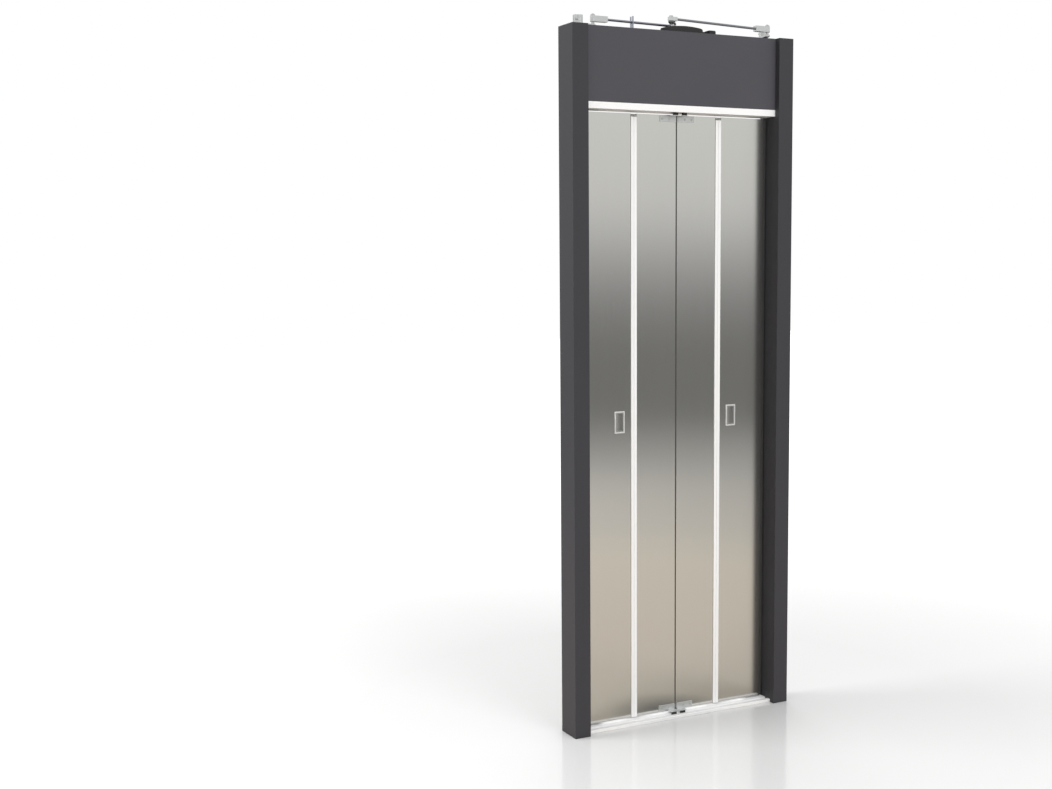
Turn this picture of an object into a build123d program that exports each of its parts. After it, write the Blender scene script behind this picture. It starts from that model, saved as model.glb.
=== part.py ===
from build123d import *
import math
import os

# Folding cabin door of four leaves, closed, in its steel frame.
# Millimetres, Z up. The origin is on the floor, at the middle of the width and of the depth.
# The landing side faces -Y, the cabin side faces +Y, and the drive stands on top of the header.

# Frame
OPENING_WIDTH = 724.0
JAMB_WIDTH = 56.0
JAMB_DEPTH = 93.0
HEADER_HEIGHT = 234.0
FRAME_WALL = 2.0
CLEAR_TOP = 2010.0
HEADER_RECESS = 21.0
LAP_WIDTH = 16.0
TOP_LIP = 14.0
SHELF_LIP = 15.0

# Upper track and sill, both aluminium extrusions with one guide groove
TRACK_HEIGHT = 21.0
RAIL_INSET = 3.0
TRACK_WALL = 2.0
SILL_HEIGHT = 10.0
GROOVE_WIDTH = 13.0
GROOVE_SETBACK = 15.0
TRACK_GROOVE_DEPTH = 16.0
SILL_GROOVE_DEPTH = 8.0
SILL_NOSE_RADIUS = 2.0
FLUTE_COUNT = 6
FLUTE_WIDTH = 2.0
FLUTE_DEPTH = 1.0
FLUTE_PITCH = 5.0

# Leaves, folded from stainless sheet
SHEET = 1.5
BEND = 1.5
PANEL_BACK_SPACE = 31.0
PANEL_DEPTH = 19.5
PANEL_GAP = 6.0
JAMB_GAP = 15.0
SEAM_GAP = 4.0
MEETING_LIP = 11.0
HINGE_LIP = 17.5
POST_STEP = 9.7

# Hinge extrusions between the two leaves of a side
HINGE_OFFSET = 162.5
HINGE_FACE = 10.5
HINGE_PROUD = 0.8
HINGE_WALL = 2.0
HINGE_LEAF = 28.5
HINGE_TOP_GAP = 10.0
HINGE_SLIT = 0.4
KNUCKLE_RADIUS = 4.5
PIN_RADIUS = 3.0
KNUCKLE_COUNT = 5
LOW_KNUCKLE_LENGTH = 94.0
HIGH_KNUCKLE_LENGTH = 76.0

# Pull handles, cups let into the outer leaves
HANDLE_FROM_HINGE = 54.5
HANDLE_HEIGHT = 1010.0
HANDLE_WIDTH = 37.0
HANDLE_LENGTH = 71.0
HANDLE_RIM = 6.5
HANDLE_DEPTH = 15.0
HANDLE_WALL = 1.2
HANDLE_CORNER = 3.0

# Pivot posts and shafts at the jambs
POST_SIZE = 18.0
POST_WALL = 1.5
POST_JAMB_GAP = 2.0
SHAFT_RADIUS = 6.0
PLUG_LENGTH = 40.0
PIVOT_PLATE_LENGTH = 75.0
PIVOT_PLATE = 3.0
PIVOT_WEB_HEIGHT = 12.0
COLLAR_WIDTH = 2.0

# Guides at the meeting edge of the inner leaves
GUIDE_LENGTH = 62.0
GUIDE_START = 4.0
GUIDE_HEIGHT = 20.0
GUIDE_PLATE = 2.0
GUIDE_TONGUE = 24.0
SHOE_LENGTH = 16.0
SHOE_CENTRE = 17.0
SHOE_CORNER = 3.0
SHOE_SIDE_GAP = 0.5
SHOE_END_GAP = 1.5
TONGUE_GAP = 8.0

# Drive on top of the header
HUB_RADIUS = 12.5
HUB_HEIGHT = 31.0
CLAMP_REACH = 18.0
CLAMP_WIDTH = 15.0
CLAMP_SLIT = 2.0
BEARING_RADIUS = 14.0
BEARING_HEIGHT = 7.0
LEVER_LENGTH = 50.0
LEVER_THICKNESS = 5.5
LEVER_END_RADIUS = 9.0
RIGHT_LEVER_TURN = -108.0
STUD_RADIUS = 5.0
ROD_RADIUS = 4.0
ROD_END_LENGTH = 50.0
ROD_END_SIZE = 18.0
ROD_LEVEL = 30.0
CRANK_X = -24.0
CRANK_REACH = 28.0
CRANK_TURN = 50.0
CRANK_GAP = 1.5
CRANK_THICKNESS = 5.0
CRANK_END_RADIUS = 9.0
LOW_EYE_REACH = 22.0
LOW_EYE_THICKNESS = 6.5
HIGH_BLOCK_REACH = 21.0
HIGH_BLOCK_LENGTH = 30.0
HIGH_BLOCK_WIDTH = 16.0
HIGH_BLOCK_HEIGHT = 12.0
HIGH_BLOCK_CORNER = 3.0
BOLT_HEAD_HEIGHT = 4.0
BOLT_HEAD_RADIUS = 6.5
COVER_LENGTH = 152.0
COVER_WIDTH = 52.0
COVER_HEIGHT = 20.0
COVER_WALL = 2.0
COVER_CENTRE_X = 12.0
COVER_CROWN = 7.0
COVER_EDGE_RADIUS = 4.0
PULLEY_COVER_LENGTH = 30.0
PULLEY_COVER_WIDTH = 34.0
PULLEY_COVER_HEIGHT = 14.0
PULLEY_COVER_CORNER = 8.0
PULLEY_COVER_EDGE_RADIUS = 4.0
BELT_WIDTH = 6.0
BELT_THICKNESS = 2.0
BELT_LEVEL = 1.5
BELT_ROOM = 1.0
CRANK_PULLEY_RADIUS = 19.0
MOTOR_PULLEY_RADIUS = 10.0
STOP_LENGTH = 60.0
STOP_WIDTH = 12.0
STOP_HEIGHT = 20.0
STOP_CENTRE_X = 69.0
STOP_CHAMFER = 1.5
STOP_PIN_RISE = 10.0
ROD_POST_X = -160.0
ROD_POST_WIDTH = 18.0
ROD_POST_HEIGHT = 46.0
ROD_POST_PLATE = 3.0
GROMMET_LENGTH = 50.0
GROMMET_WIDTH = 18.0
GROMMET_HEIGHT = 7.0
GROMMET_CORNER = 8.0
GROMMET_EDGE_RADIUS = 3.0
GROMMET_FROM_POST = 38.0
GROMMET_FROM_JAMB = 80.0

# What stands in the open header box
MOTOR_RADIUS = 25.0
MOTOR_LENGTH = 112.0
MOTOR_START_X = -7.0
MOTOR_DROP = 38.0
MOTOR_CAP = 10.0
MOTOR_CAP_STEP = 4.0
GEARBOX_LENGTH = 82.0
GEARBOX_WIDTH = 56.0
GEARBOX_HEIGHT = 50.0
GEARBOX_CORNER = 10.0
GEARBOX_ROOM = 1.5
GEARBOX_GROOVE_COUNT = 5
GEARBOX_GROOVE_DEPTH = 2.0
GEARBOX_GROOVE_WIDTH = 7.0
GEARBOX_END_PLATE = 8.0
OUTPUT_INSET = 16.0
OUTPUT_BOSS = 4.0
BOARD_WIDTH = 128.0
BOARD_HEIGHT = 92.0
BOARD_THICKNESS = 1.6
BOARD_GAP = 26.0
BOARD_DROP = 111.0
STANDOFF = 10.0
STANDOFF_RADIUS = 3.0
STANDOFF_INSET = 6.0
CAPACITOR_RADIUS = 5.5
CAPACITOR_HEIGHT = 16.0
CAPACITOR_PITCH = 13.0
CAPACITOR_COUNT = 3
CAPACITOR_INSET = 8.0
CAPACITOR_RISE = 2.0
# Blocks on the board, each as start, width, middle above the board's middle, height and depth
BOARD_BLOCKS = (
    (112.0, 12.0, 28.0, 18.0, 14.0),
    (75.0, 34.0, 28.0, 18.0, 14.0),
    (33.0, 38.0, 28.0, 18.0, 14.0),
    (3.0, 27.0, 28.0, 18.0, 14.0),
    (22.0, 26.0, -18.0, 34.0, 16.0),
    (58.0, 14.0, -21.0, 24.0, 20.0),
    (88.0, 14.0, -6.0, 24.0, 12.0),
    (106.0, 16.0, -26.0, 16.0, 12.0),
    (18.0, 80.0, -41.0, 7.0, 10.0),
)
DEVICE_PLATE = 1.5
DEVICE_PLATE_RISE = 36.0
DEVICE_PLATE_HEIGHT = 134.0
TRANSFORMER_WIDTH = 71.0
TRANSFORMER_DEPTH = 36.0
TRANSFORMER_HEIGHT = 61.0
TRANSFORMER_RISE = 51.0
TRANSFORMER_SETBACK = 12.0
TRANSFORMER_GAP = 1.0
TRANSFORMER_CHAMFER = 1.5
TRANSFORMER_FOOT = 5.0
TRANSFORMER_FOOT_HEIGHT = 3.0
WINDING_WIDTH = 56.0
WINDING_DEPTH = 50.0
WINDING_RISE = 22.0
WINDING_CORNER = 8.0
WINDING_EDGE_RADIUS = 7.0
RELAY_WIDTH = 44.0
RELAY_DEPTH = 42.0
RELAY_X = -47.0
RELAY_RISE = 40.0
RELAY_HEIGHTS = (55.0, 27.0, 28.0)
RELAY_SIDE_STEP = 3.0
RELAY_FACE_STEP = 4.0
CONDUIT_RADIUS = 4.0
CONDUIT_WALL_GAP = 1.0
LEAD_RADIUS = 2.5
CLIP_LENGTH = 6.0
CLIP_ROOM = 4.0
CLIP_WALL = 1.2
# Conduit points: distance from the right jamb, from the wall, and below the header's top
CONDUIT_DROP = ((92.0, 14.0, 0.0), (94.0, 12.0, 40.0), (97.0, 4.0, 80.0))
# Conduit points: distance from the right jamb, from the wall, and above the header's bottom
CONDUIT_BEND = (
    (97.5, 0.0, 128.5),
    (104.5, 0.0, 115.5),
    (117.0, 0.0, 108.5),
    (144.0, 0.0, 106.8),
    (194.0, 0.0, 105.8),
    (250.0, 0.0, 105.4),
)
# Conduit points: distance from the relays' middle, from the wall, and above the header's bottom
CONDUIT_TAIL = ((100.0, 0.0, 104.4), (50.0, 0.0, 103.0))
CONDUIT_END_RISE = 101.0
# Motor lead points: distance to the left of the motor, from the drive's line, and above the motor's line
LEAD_START = ((0.0, -4.0, -8.0), (22.0, -4.0, -8.0))
LEAD_RUN = ((48.0, -13.5, -10.0), (78.0, -15.5, 2.0), (108.0, -13.5, 2.0))
LEAD_END_INSET = 14.0
LEAD_END_DEPTH = 20.0
LEAD_END_RISE = 40.0

# Small items on the backs of the leaves
BACK_PLATE_WIDTH = 66.0
BACK_PLATE_HEIGHT = 45.0
BACK_PLATE_THICKNESS = 6.0
BACK_PLATE_CORNER = 3.0
BACK_PLATE_INSET = 91.0
BACK_PLATE_GAP = 0.5

# Clearances
SHAFT_CLEARANCE = 0.2
SEAT_CLEARANCE = 0.3
CUP_CLEARANCE = 0.3
OVERCUT = 1.0

# Places that follow from the sizes above
OVERALL_DEPTH = JAMB_DEPTH + FRAME_WALL
FRONT = -OVERALL_DEPTH / 2
BACK = FRONT + JAMB_DEPTH
INNER = OPENING_WIDTH / 2
OUTER = INNER + JAMB_WIDTH
HEADER_FRONT = FRONT + HEADER_RECESS
TRACK_TOP = CLEAR_TOP + TRACK_HEIGHT
FRAME_HEIGHT = TRACK_TOP + HEADER_HEIGHT
RAIL_BACK = BACK - RAIL_INSET
GROOVE_FRONT = HEADER_FRONT + GROOVE_SETBACK
GROOVE_BACK = GROOVE_FRONT + GROOVE_WIDTH
GROOVE_Y = GROOVE_FRONT + GROOVE_WIDTH / 2
SHOE_WIDTH = GROOVE_WIDTH - 2 * SHOE_SIDE_GAP
PANEL_FRONT = BACK - PANEL_BACK_SPACE
PANEL_BOTTOM = SILL_HEIGHT + PANEL_GAP
PANEL_TOP = CLEAR_TOP - PANEL_GAP
HINGE_TOP = PANEL_TOP - HINGE_TOP_GAP
HINGE_BACK = PANEL_FRONT + PANEL_DEPTH + HINGE_WALL
KNUCKLE_Y = HINGE_BACK + SEAT_CLEARANCE + KNUCKLE_RADIUS
POST_OUTER = INNER - POST_JAMB_GAP
POST_INNER = POST_OUTER - POST_SIZE
POST_FRONT = PANEL_FRONT + POST_STEP + SEAT_CLEARANCE
PIVOT_X = (POST_OUTER + POST_INNER) / 2
PIVOT_Y = POST_FRONT + POST_SIZE / 2
HANDLE_OFFSET = HINGE_OFFSET + HANDLE_FROM_HINGE
BACK_PLATE_DROP = PIVOT_WEB_HEIGHT + BACK_PLATE_GAP
LEVER_BOTTOM = FRAME_HEIGHT + BEARING_HEIGHT
SHAFT_HOLE = SHAFT_RADIUS + SHAFT_CLEARANCE
DRIVE_Y = HEADER_FRONT + FRAME_WALL + GEARBOX_ROOM + GEARBOX_WIDTH / 2
CRANK_LEVEL = COVER_HEIGHT + CRANK_GAP + LOW_EYE_THICKNESS
OUTPUT_X = MOTOR_START_X + MOTOR_LENGTH + OUTPUT_INSET
MOTOR_Z = FRAME_HEIGHT - MOTOR_DROP
GROMMET_PLACES = (ROD_POST_X + GROMMET_FROM_POST, INNER - GROMMET_FROM_JAMB)
TRANSFORMER_X = RELAY_X - (RELAY_WIDTH + TRANSFORMER_WIDTH) / 2 - TRANSFORMER_GAP
TRANSFORMER_FRONT = HEADER_FRONT + FRAME_WALL + TRANSFORMER_SETBACK
BOARD_X = TRANSFORMER_X - (TRANSFORMER_WIDTH + BOARD_WIDTH) / 2 - BOARD_GAP
BOARD_Z = FRAME_HEIGHT - BOARD_DROP
DEVICE_FRONT = HEADER_FRONT + FRAME_WALL + DEVICE_PLATE
BOARD_FRONT = DEVICE_FRONT + STANDOFF
CONDUIT_Y = HEADER_FRONT + FRAME_WALL + CONDUIT_RADIUS + CONDUIT_WALL_GAP
CONDUIT_TOP = FRAME_HEIGHT - FRAME_WALL - SEAT_CLEARANCE
BOX_BOTTOM = TRACK_TOP + FRAME_WALL
TRANSFORMER_LOW = BOX_BOTTOM + TRANSFORMER_RISE


def slab(x_span, y_span, z_span):
    """A rectangular block between two values on each axis."""
    spans = (x_span, y_span, z_span)
    size = [abs(high - low) for low, high in spans]
    centre = [(low + high) / 2 for low, high in spans]
    return Pos(*centre) * Box(*size)


def post(x, y, z_low, z_high, radius):
    """An upright round bar."""
    return Pos(x, y, (z_low + z_high) / 2) * Cylinder(radius, z_high - z_low)


def bar_between(start, end, radius):
    """A round bar from one point to another."""
    line = Vector(*end) - Vector(*start)
    plane = Plane(origin=start, z_dir=line)
    return extrude(plane * Circle(radius), amount=line.length)


def rise(section, z_low, z_high):
    """A section of the XY plane raised between two heights."""
    return extrude(Pos(0, 0, z_low) * section, amount=z_high - z_low)


def rectangle(x_span, y_span):
    """A flat rectangle between two values on X and Y."""
    size = [abs(high - low) for low, high in (x_span, y_span)]
    return Pos((x_span[0] + x_span[1]) / 2, (y_span[0] + y_span[1]) / 2) * Rectangle(*size)


def folded_sheet(points, z_low, z_high):
    """Sheet bent along a middle line and raised between two heights."""
    middle = FilletPolyline(*points, radius=BEND + SHEET / 2)
    return rise(trace(middle, line_width=SHEET), z_low, z_high)


def other_side(shape):
    """The same piece on the right, reflected about the middle of the door."""
    return mirror(shape, about=Plane.YZ)


def save(name, *pieces):
    """One named piece, or like pieces that do not touch, in one file."""
    solids = [solid for piece in pieces for solid in piece.solids()]
    shape = solids[0] if len(solids) == 1 else Compound(solids)
    export_step(shape, f"parts/{name}.step")


def jamb():
    """Left upright: a closed sheet box, open only at its foot."""
    outside = slab((-OUTER, -INNER), (FRONT, BACK), (0, FRAME_HEIGHT))
    inside = slab(
        (-OUTER + FRAME_WALL, -INNER - FRAME_WALL),
        (FRONT + FRAME_WALL, BACK - FRAME_WALL),
        (0, FRAME_HEIGHT - FRAME_WALL),
    )
    return outside - inside


def header_side():
    """Left end of the header box, with the flange that laps over the jamb's back."""
    wall = slab(
        (-INNER, -INNER + FRAME_WALL),
        (HEADER_FRONT + FRAME_WALL, BACK + FRAME_WALL),
        (TRACK_TOP, FRAME_HEIGHT),
    )
    flange = slab(
        (-INNER - LAP_WIDTH, -INNER + FRAME_WALL),
        (BACK, BACK + FRAME_WALL),
        (TRACK_TOP, FRAME_HEIGHT),
    )
    return wall + flange


def header_plate(z_outer, direction, lip, holes):
    """Top or bottom of the header box: a plate with its back edge turned into the box."""
    reach = INNER - FRAME_WALL
    z_inner = z_outer + direction * FRAME_WALL
    z_lip = z_outer + direction * lip
    plate = slab((-reach, reach), (HEADER_FRONT + FRAME_WALL, BACK), sorted((z_outer, z_inner)))
    turned = slab((-reach, reach), (BACK - FRAME_WALL, BACK), sorted((z_outer, z_lip)))
    shape = plate + turned
    for x, y, radius in holes:
        shape -= post(x, y, min(z_outer, z_inner) - OVERCUT, max(z_outer, z_inner) + OVERCUT, radius)
    return shape


def pivot_holes():
    """Both shaft holes, as places and radii."""
    return [(side * PIVOT_X, PIVOT_Y, SHAFT_HOLE) for side in (-1, 1)]


def upper_track():
    """Extruded track with hollow chambers and one groove that opens downwards."""
    chamber_z = (CLEAR_TOP + TRACK_WALL, TRACK_TOP - TRACK_WALL)
    rib_y = (GROOVE_BACK + RAIL_BACK) / 2
    chambers = (
        (HEADER_FRONT + TRACK_WALL, GROOVE_FRONT - TRACK_WALL),
        (GROOVE_BACK + TRACK_WALL, rib_y - TRACK_WALL / 2),
        (rib_y + TRACK_WALL / 2, RAIL_BACK - TRACK_WALL),
    )
    through = (-INNER - OVERCUT, INNER + OVERCUT)
    groove_z = (CLEAR_TOP - OVERCUT, CLEAR_TOP + TRACK_GROOVE_DEPTH)
    shape = slab((-INNER, INNER), (HEADER_FRONT, RAIL_BACK), (CLEAR_TOP, TRACK_TOP))
    shape -= slab(through, (GROOVE_FRONT, GROOVE_BACK), groove_z)
    for chamber in chambers:
        shape -= slab(through, chamber, chamber_z)
    for x, y, radius in pivot_holes():
        shape -= post(x, y, CLEAR_TOP - OVERCUT, TRACK_TOP + OVERCUT, radius)
    return shape


def sill():
    """Threshold with a guide groove, a rounded nose and shallow flutes behind the groove."""
    through = (-INNER - OVERCUT, INNER + OVERCUT)
    above = SILL_HEIGHT + OVERCUT
    shape = slab((-INNER, INNER), (HEADER_FRONT, RAIL_BACK), (0, SILL_HEIGHT))
    nose = shape.edges().filter_by(Axis.X).group_by(Axis.Z)[-1].sort_by(Axis.Y)[0]
    shape = fillet(nose, radius=SILL_NOSE_RADIUS)
    shape -= slab(through, (GROOVE_FRONT, GROOVE_BACK), (SILL_HEIGHT - SILL_GROOVE_DEPTH, above))
    for number in range(FLUTE_COUNT):
        y = GROOVE_BACK + (number + 1) * FLUTE_PITCH
        flute = (y - FLUTE_WIDTH / 2, y + FLUTE_WIDTH / 2)
        shape -= slab(through, flute, (SILL_HEIGHT - FLUTE_DEPTH, above))
    for x, y, radius in pivot_holes():
        shape -= post(x, y, FRAME_WALL, above, radius)
    return shape


def outer_leaf():
    """Left outer leaf: stepped flange at the pivot post, return and lip at the hinge."""
    half = SHEET / 2
    jamb_fold = -INNER + JAMB_GAP + half
    hinge_fold = -HINGE_OFFSET - HINGE_FACE - half
    flange_y = PANEL_FRONT + POST_STEP - half
    lip_y = PANEL_FRONT + PANEL_DEPTH - half
    points = (
        (-POST_OUTER + SEAT_CLEARANCE, flange_y),
        (jamb_fold, flange_y),
        (jamb_fold, PANEL_FRONT + half),
        (hinge_fold, PANEL_FRONT + half),
        (hinge_fold, lip_y),
        (hinge_fold - HINGE_LIP + half, lip_y),
    )
    leaf = folded_sheet(points, PANEL_BOTTOM, PANEL_TOP)
    return leaf - cup_hole()


def inner_leaf():
    """Left inner leaf: return and lip at the hinge and at the meeting edge."""
    half = SHEET / 2
    hinge_fold = -HINGE_OFFSET + HINGE_FACE + half
    seam_fold = -SEAM_GAP / 2 - half
    lip_y = PANEL_FRONT + PANEL_DEPTH - half
    points = (
        (hinge_fold + HINGE_LIP - half, lip_y),
        (hinge_fold, lip_y),
        (hinge_fold, PANEL_FRONT + half),
        (seam_fold, PANEL_FRONT + half),
        (seam_fold, lip_y),
        (seam_fold - MEETING_LIP, lip_y),
    )
    return folded_sheet(points, PANEL_BOTTOM, PANEL_TOP)


def cup_body_size():
    """Width and length of the cup behind its rim."""
    trim = 2 * (HANDLE_RIM - HANDLE_WALL)
    return HANDLE_WIDTH - trim, HANDLE_LENGTH - trim


def cup_hole():
    """Cut-out in the outer leaf for the cup."""
    width, length = cup_body_size()
    half_width = width / 2 + CUP_CLEARANCE
    half_length = length / 2 + CUP_CLEARANCE
    return slab(
        (-HANDLE_OFFSET - half_width, -HANDLE_OFFSET + half_width),
        (PANEL_FRONT - OVERCUT, PANEL_FRONT + SHEET + OVERCUT),
        (HANDLE_HEIGHT - half_length, HANDLE_HEIGHT + half_length),
    )


def pull_handle():
    """Left pull: a rim on the face of the leaf and a hollow cup behind it."""
    width, length = cup_body_size()
    face = Plane(origin=(-HANDLE_OFFSET, PANEL_FRONT, HANDLE_HEIGHT), x_dir=(1, 0, 0), z_dir=(0, -1, 0))
    rim = extrude(face * RectangleRounded(HANDLE_WIDTH, HANDLE_LENGTH, HANDLE_CORNER), amount=HANDLE_WALL)
    body = extrude(face * RectangleRounded(width, length, HANDLE_CORNER), amount=-HANDLE_DEPTH - HANDLE_WALL)
    inner_size = (width - 2 * HANDLE_WALL, length - 2 * HANDLE_WALL)
    hollow_section = RectangleRounded(*inner_size, HANDLE_CORNER - HANDLE_WALL)
    hollow = extrude(face * hollow_section, amount=-HANDLE_DEPTH)
    mouth = extrude(face * hollow_section, amount=HANDLE_WALL + OVERCUT)
    return rim + body - hollow - mouth


def hinge_section(side):
    """Section of one hinge extrusion. side is -1 for the leaf towards the jamb."""
    x_face = sorted((side * HINGE_SLIT, side * HINGE_FACE))
    x_void = sorted((side * (HINGE_SLIT + HINGE_WALL), side * (HINGE_FACE - HINGE_WALL)))
    x_leaf = sorted((side * HINGE_SLIT, side * HINGE_LEAF))
    front = PANEL_FRONT - HINGE_PROUD
    box = rectangle(x_face, (front, HINGE_BACK))
    void = rectangle(x_void, (front + HINGE_WALL, HINGE_BACK - HINGE_WALL))
    leaf = rectangle(x_leaf, (HINGE_BACK - HINGE_WALL, HINGE_BACK))
    return Pos(-HINGE_OFFSET, 0) * (box + leaf - void)


def knuckle_section(side):
    """Section of one knuckle with the neck that joins it to its extrusion."""
    neck_x = sorted((side * HINGE_SLIT, side * KNUCKLE_RADIUS))
    neck = rectangle(neck_x, (HINGE_BACK - HINGE_WALL / 2, KNUCKLE_Y))
    barrel = Pos(0, KNUCKLE_Y) * Circle(KNUCKLE_RADIUS)
    bore = Pos(0, KNUCKLE_Y) * Circle(PIN_RADIUS + SHAFT_CLEARANCE)
    return Pos(-HINGE_OFFSET, 0) * (barrel + neck - bore)


def hinge_leaf(side):
    """One left hinge extrusion with every second knuckle along its height."""
    shape = rise(hinge_section(side), PANEL_BOTTOM, HINGE_TOP)
    low_joint = PANEL_BOTTOM + LOW_KNUCKLE_LENGTH
    high_joint = HINGE_TOP - HIGH_KNUCKLE_LENGTH
    step = (high_joint - low_joint) / (KNUCKLE_COUNT - 2)
    joints = [low_joint + number * step for number in range(KNUCKLE_COUNT - 1)]
    ends = (PANEL_BOTTOM, *joints, HINGE_TOP)
    first = 0 if side < 0 else 1
    for number in range(first, len(ends) - 1, 2):
        low = ends[number] + (SEAT_CLEARANCE / 2 if number else 0)
        high = ends[number + 1] - SEAT_CLEARANCE / 2
        shape += rise(knuckle_section(side), low, high)
    return shape


def hinge_pin():
    """Left hinge pin, standing a little out of the knuckles at both ends."""
    return post(-HINGE_OFFSET, KNUCKLE_Y, SILL_HEIGHT + SEAT_CLEARANCE, HINGE_TOP + PANEL_GAP, PIN_RADIUS)


def meeting_seal():
    """Left rubber strip on the meeting edge."""
    return slab(
        (-SEAM_GAP / 2, -SEAT_CLEARANCE / 2),
        (PANEL_FRONT + BEND + SHEET, PANEL_FRONT + PANEL_DEPTH - BEND - SHEET),
        (PANEL_BOTTOM, PANEL_TOP),
    )


def pivot_post():
    """Left square tube that carries the outer leaf."""
    span_x = (-POST_OUTER, -POST_INNER)
    span_y = (POST_FRONT, POST_FRONT + POST_SIZE)
    low = PANEL_BOTTOM + PIVOT_PLATE
    high = PANEL_TOP - PIVOT_PLATE
    outside = rise(rectangle(span_x, span_y), low, high)
    inside_x = (span_x[0] + POST_WALL, span_x[1] - POST_WALL)
    inside_y = (span_y[0] + POST_WALL, span_y[1] - POST_WALL)
    return outside - slab(inside_x, inside_y, (low - OVERCUT, high + OVERCUT))


def shaft_plug(z_low, z_high):
    """Square end of a pivot shaft, inside the post."""
    half = POST_SIZE / 2 - POST_WALL - SHAFT_CLEARANCE
    return slab((-PIVOT_X - half, -PIVOT_X + half), (PIVOT_Y - half, PIVOT_Y + half), (z_low, z_high))


def pivot_shaft():
    """Left drive shaft: from inside the post, through the header, to its hub."""
    top = LEVER_BOTTOM + HUB_HEIGHT + SHAFT_CLEARANCE
    plug_top = PANEL_TOP - PIVOT_PLATE
    shaft = post(-PIVOT_X, PIVOT_Y, plug_top, top, SHAFT_RADIUS)
    return shaft_plug(plug_top - PLUG_LENGTH, plug_top) + shaft


def floor_pivot():
    """Left lower pivot pin, standing in the sill."""
    plug_low = PANEL_BOTTOM + PIVOT_PLATE
    pin = post(-PIVOT_X, PIVOT_Y, FRAME_WALL, plug_low, SHAFT_RADIUS)
    collar_radius = SHAFT_RADIUS + COLLAR_WIDTH
    collar = post(-PIVOT_X, PIVOT_Y, SILL_HEIGHT, PANEL_BOTTOM - SEAT_CLEARANCE, collar_radius)
    return pin + collar + shaft_plug(plug_low, plug_low + PLUG_LENGTH)


def pivot_bracket(z_end, direction):
    """Bracket at one end of the left post: a plate over the post's end, folded on to the leaf."""
    z_plate = sorted((z_end, z_end - direction * PIVOT_PLATE))
    z_web = sorted((z_end - direction * PIVOT_PLATE, z_end - direction * PIVOT_WEB_HEIGHT))
    post_back = POST_FRONT + POST_SIZE
    leaf_back = PANEL_FRONT + SHEET
    web_x = (-POST_INNER + 2 * SHEET, -POST_OUTER + PIVOT_PLATE_LENGTH)
    over_post = slab((-POST_OUTER, web_x[1]), (POST_FRONT, post_back), z_plate)
    over_leaf = slab(web_x, (leaf_back, post_back), z_plate)
    web = slab(web_x, (leaf_back, leaf_back + PIVOT_PLATE), z_web)
    cheek = slab((web_x[0], web_x[0] + PIVOT_PLATE), (leaf_back, post_back), z_web)
    hole = post(-PIVOT_X, PIVOT_Y, z_plate[0] - OVERCUT, z_plate[1] + OVERCUT, SHAFT_HOLE)
    return over_post + over_leaf + web + cheek - hole


def guide_bracket(z_tongue, direction):
    """Left angle bracket whose tongue carries the shoe. direction is 1 at the top."""
    z_leg = sorted((z_tongue, z_tongue - direction * GUIDE_HEIGHT))
    z_flat = sorted((z_tongue, z_tongue - direction * GUIDE_PLATE))
    leg_x = (-GUIDE_START - GUIDE_LENGTH, -GUIDE_START)
    leg = slab(leg_x, (PANEL_FRONT - GUIDE_PLATE, PANEL_FRONT), z_leg)
    tongue_x = (-SHOE_CENTRE - GUIDE_TONGUE / 2, -SHOE_CENTRE + GUIDE_TONGUE / 2)
    tongue = slab(tongue_x, (GROOVE_Y - SHOE_WIDTH / 2, PANEL_FRONT), z_flat)
    return leg + tongue


def guide_shoe(z_low, z_high):
    """Left guide shoe with rounded ends, running in a groove."""
    section = RectangleRounded(SHOE_LENGTH, SHOE_WIDTH, SHOE_CORNER)
    return rise(Pos(-SHOE_CENTRE, GROOVE_Y) * section, z_low, z_high)


def backing_plate(z_low, z_high):
    """Left plate behind a guide bracket, on the back of the inner leaf."""
    x_end = -GUIDE_START - GUIDE_LENGTH
    x_start = -SEAM_GAP / 2 - SHEET - BEND - SEAT_CLEARANCE
    y_low = PANEL_FRONT + SHEET
    return slab((x_end, x_start), (y_low, y_low + GUIDE_PLATE), (z_low, z_high))


def back_plate():
    """Left moulded plate near the top of the outer leaf's back."""
    x_low = -INNER + BACK_PLATE_INSET - BACK_PLATE_WIDTH / 2
    y_low = PANEL_FRONT + SHEET
    z_high = PANEL_TOP - BACK_PLATE_DROP
    plate = slab(
        (x_low, x_low + BACK_PLATE_WIDTH),
        (y_low, y_low + BACK_PLATE_THICKNESS),
        (z_high - BACK_PLATE_HEIGHT, z_high),
    )
    return fillet(plate.edges().filter_by(Axis.Y), radius=BACK_PLATE_CORNER)


def bearing(side):
    """Black ring on the header, round a pivot shaft."""
    ring = post(side * PIVOT_X, PIVOT_Y, FRAME_HEIGHT, LEVER_BOTTOM, BEARING_RADIUS)
    return ring - post(side * PIVOT_X, PIVOT_Y, FRAME_HEIGHT - OVERCUT, LEVER_BOTTOM + OVERCUT, SHAFT_HOLE)


def lever_end(side, turn):
    """Centre of the stud at the end of a lever."""
    angle = math.radians(turn)
    return side * PIVOT_X + LEVER_LENGTH * math.cos(angle), PIVOT_Y + LEVER_LENGTH * math.sin(angle)


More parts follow.
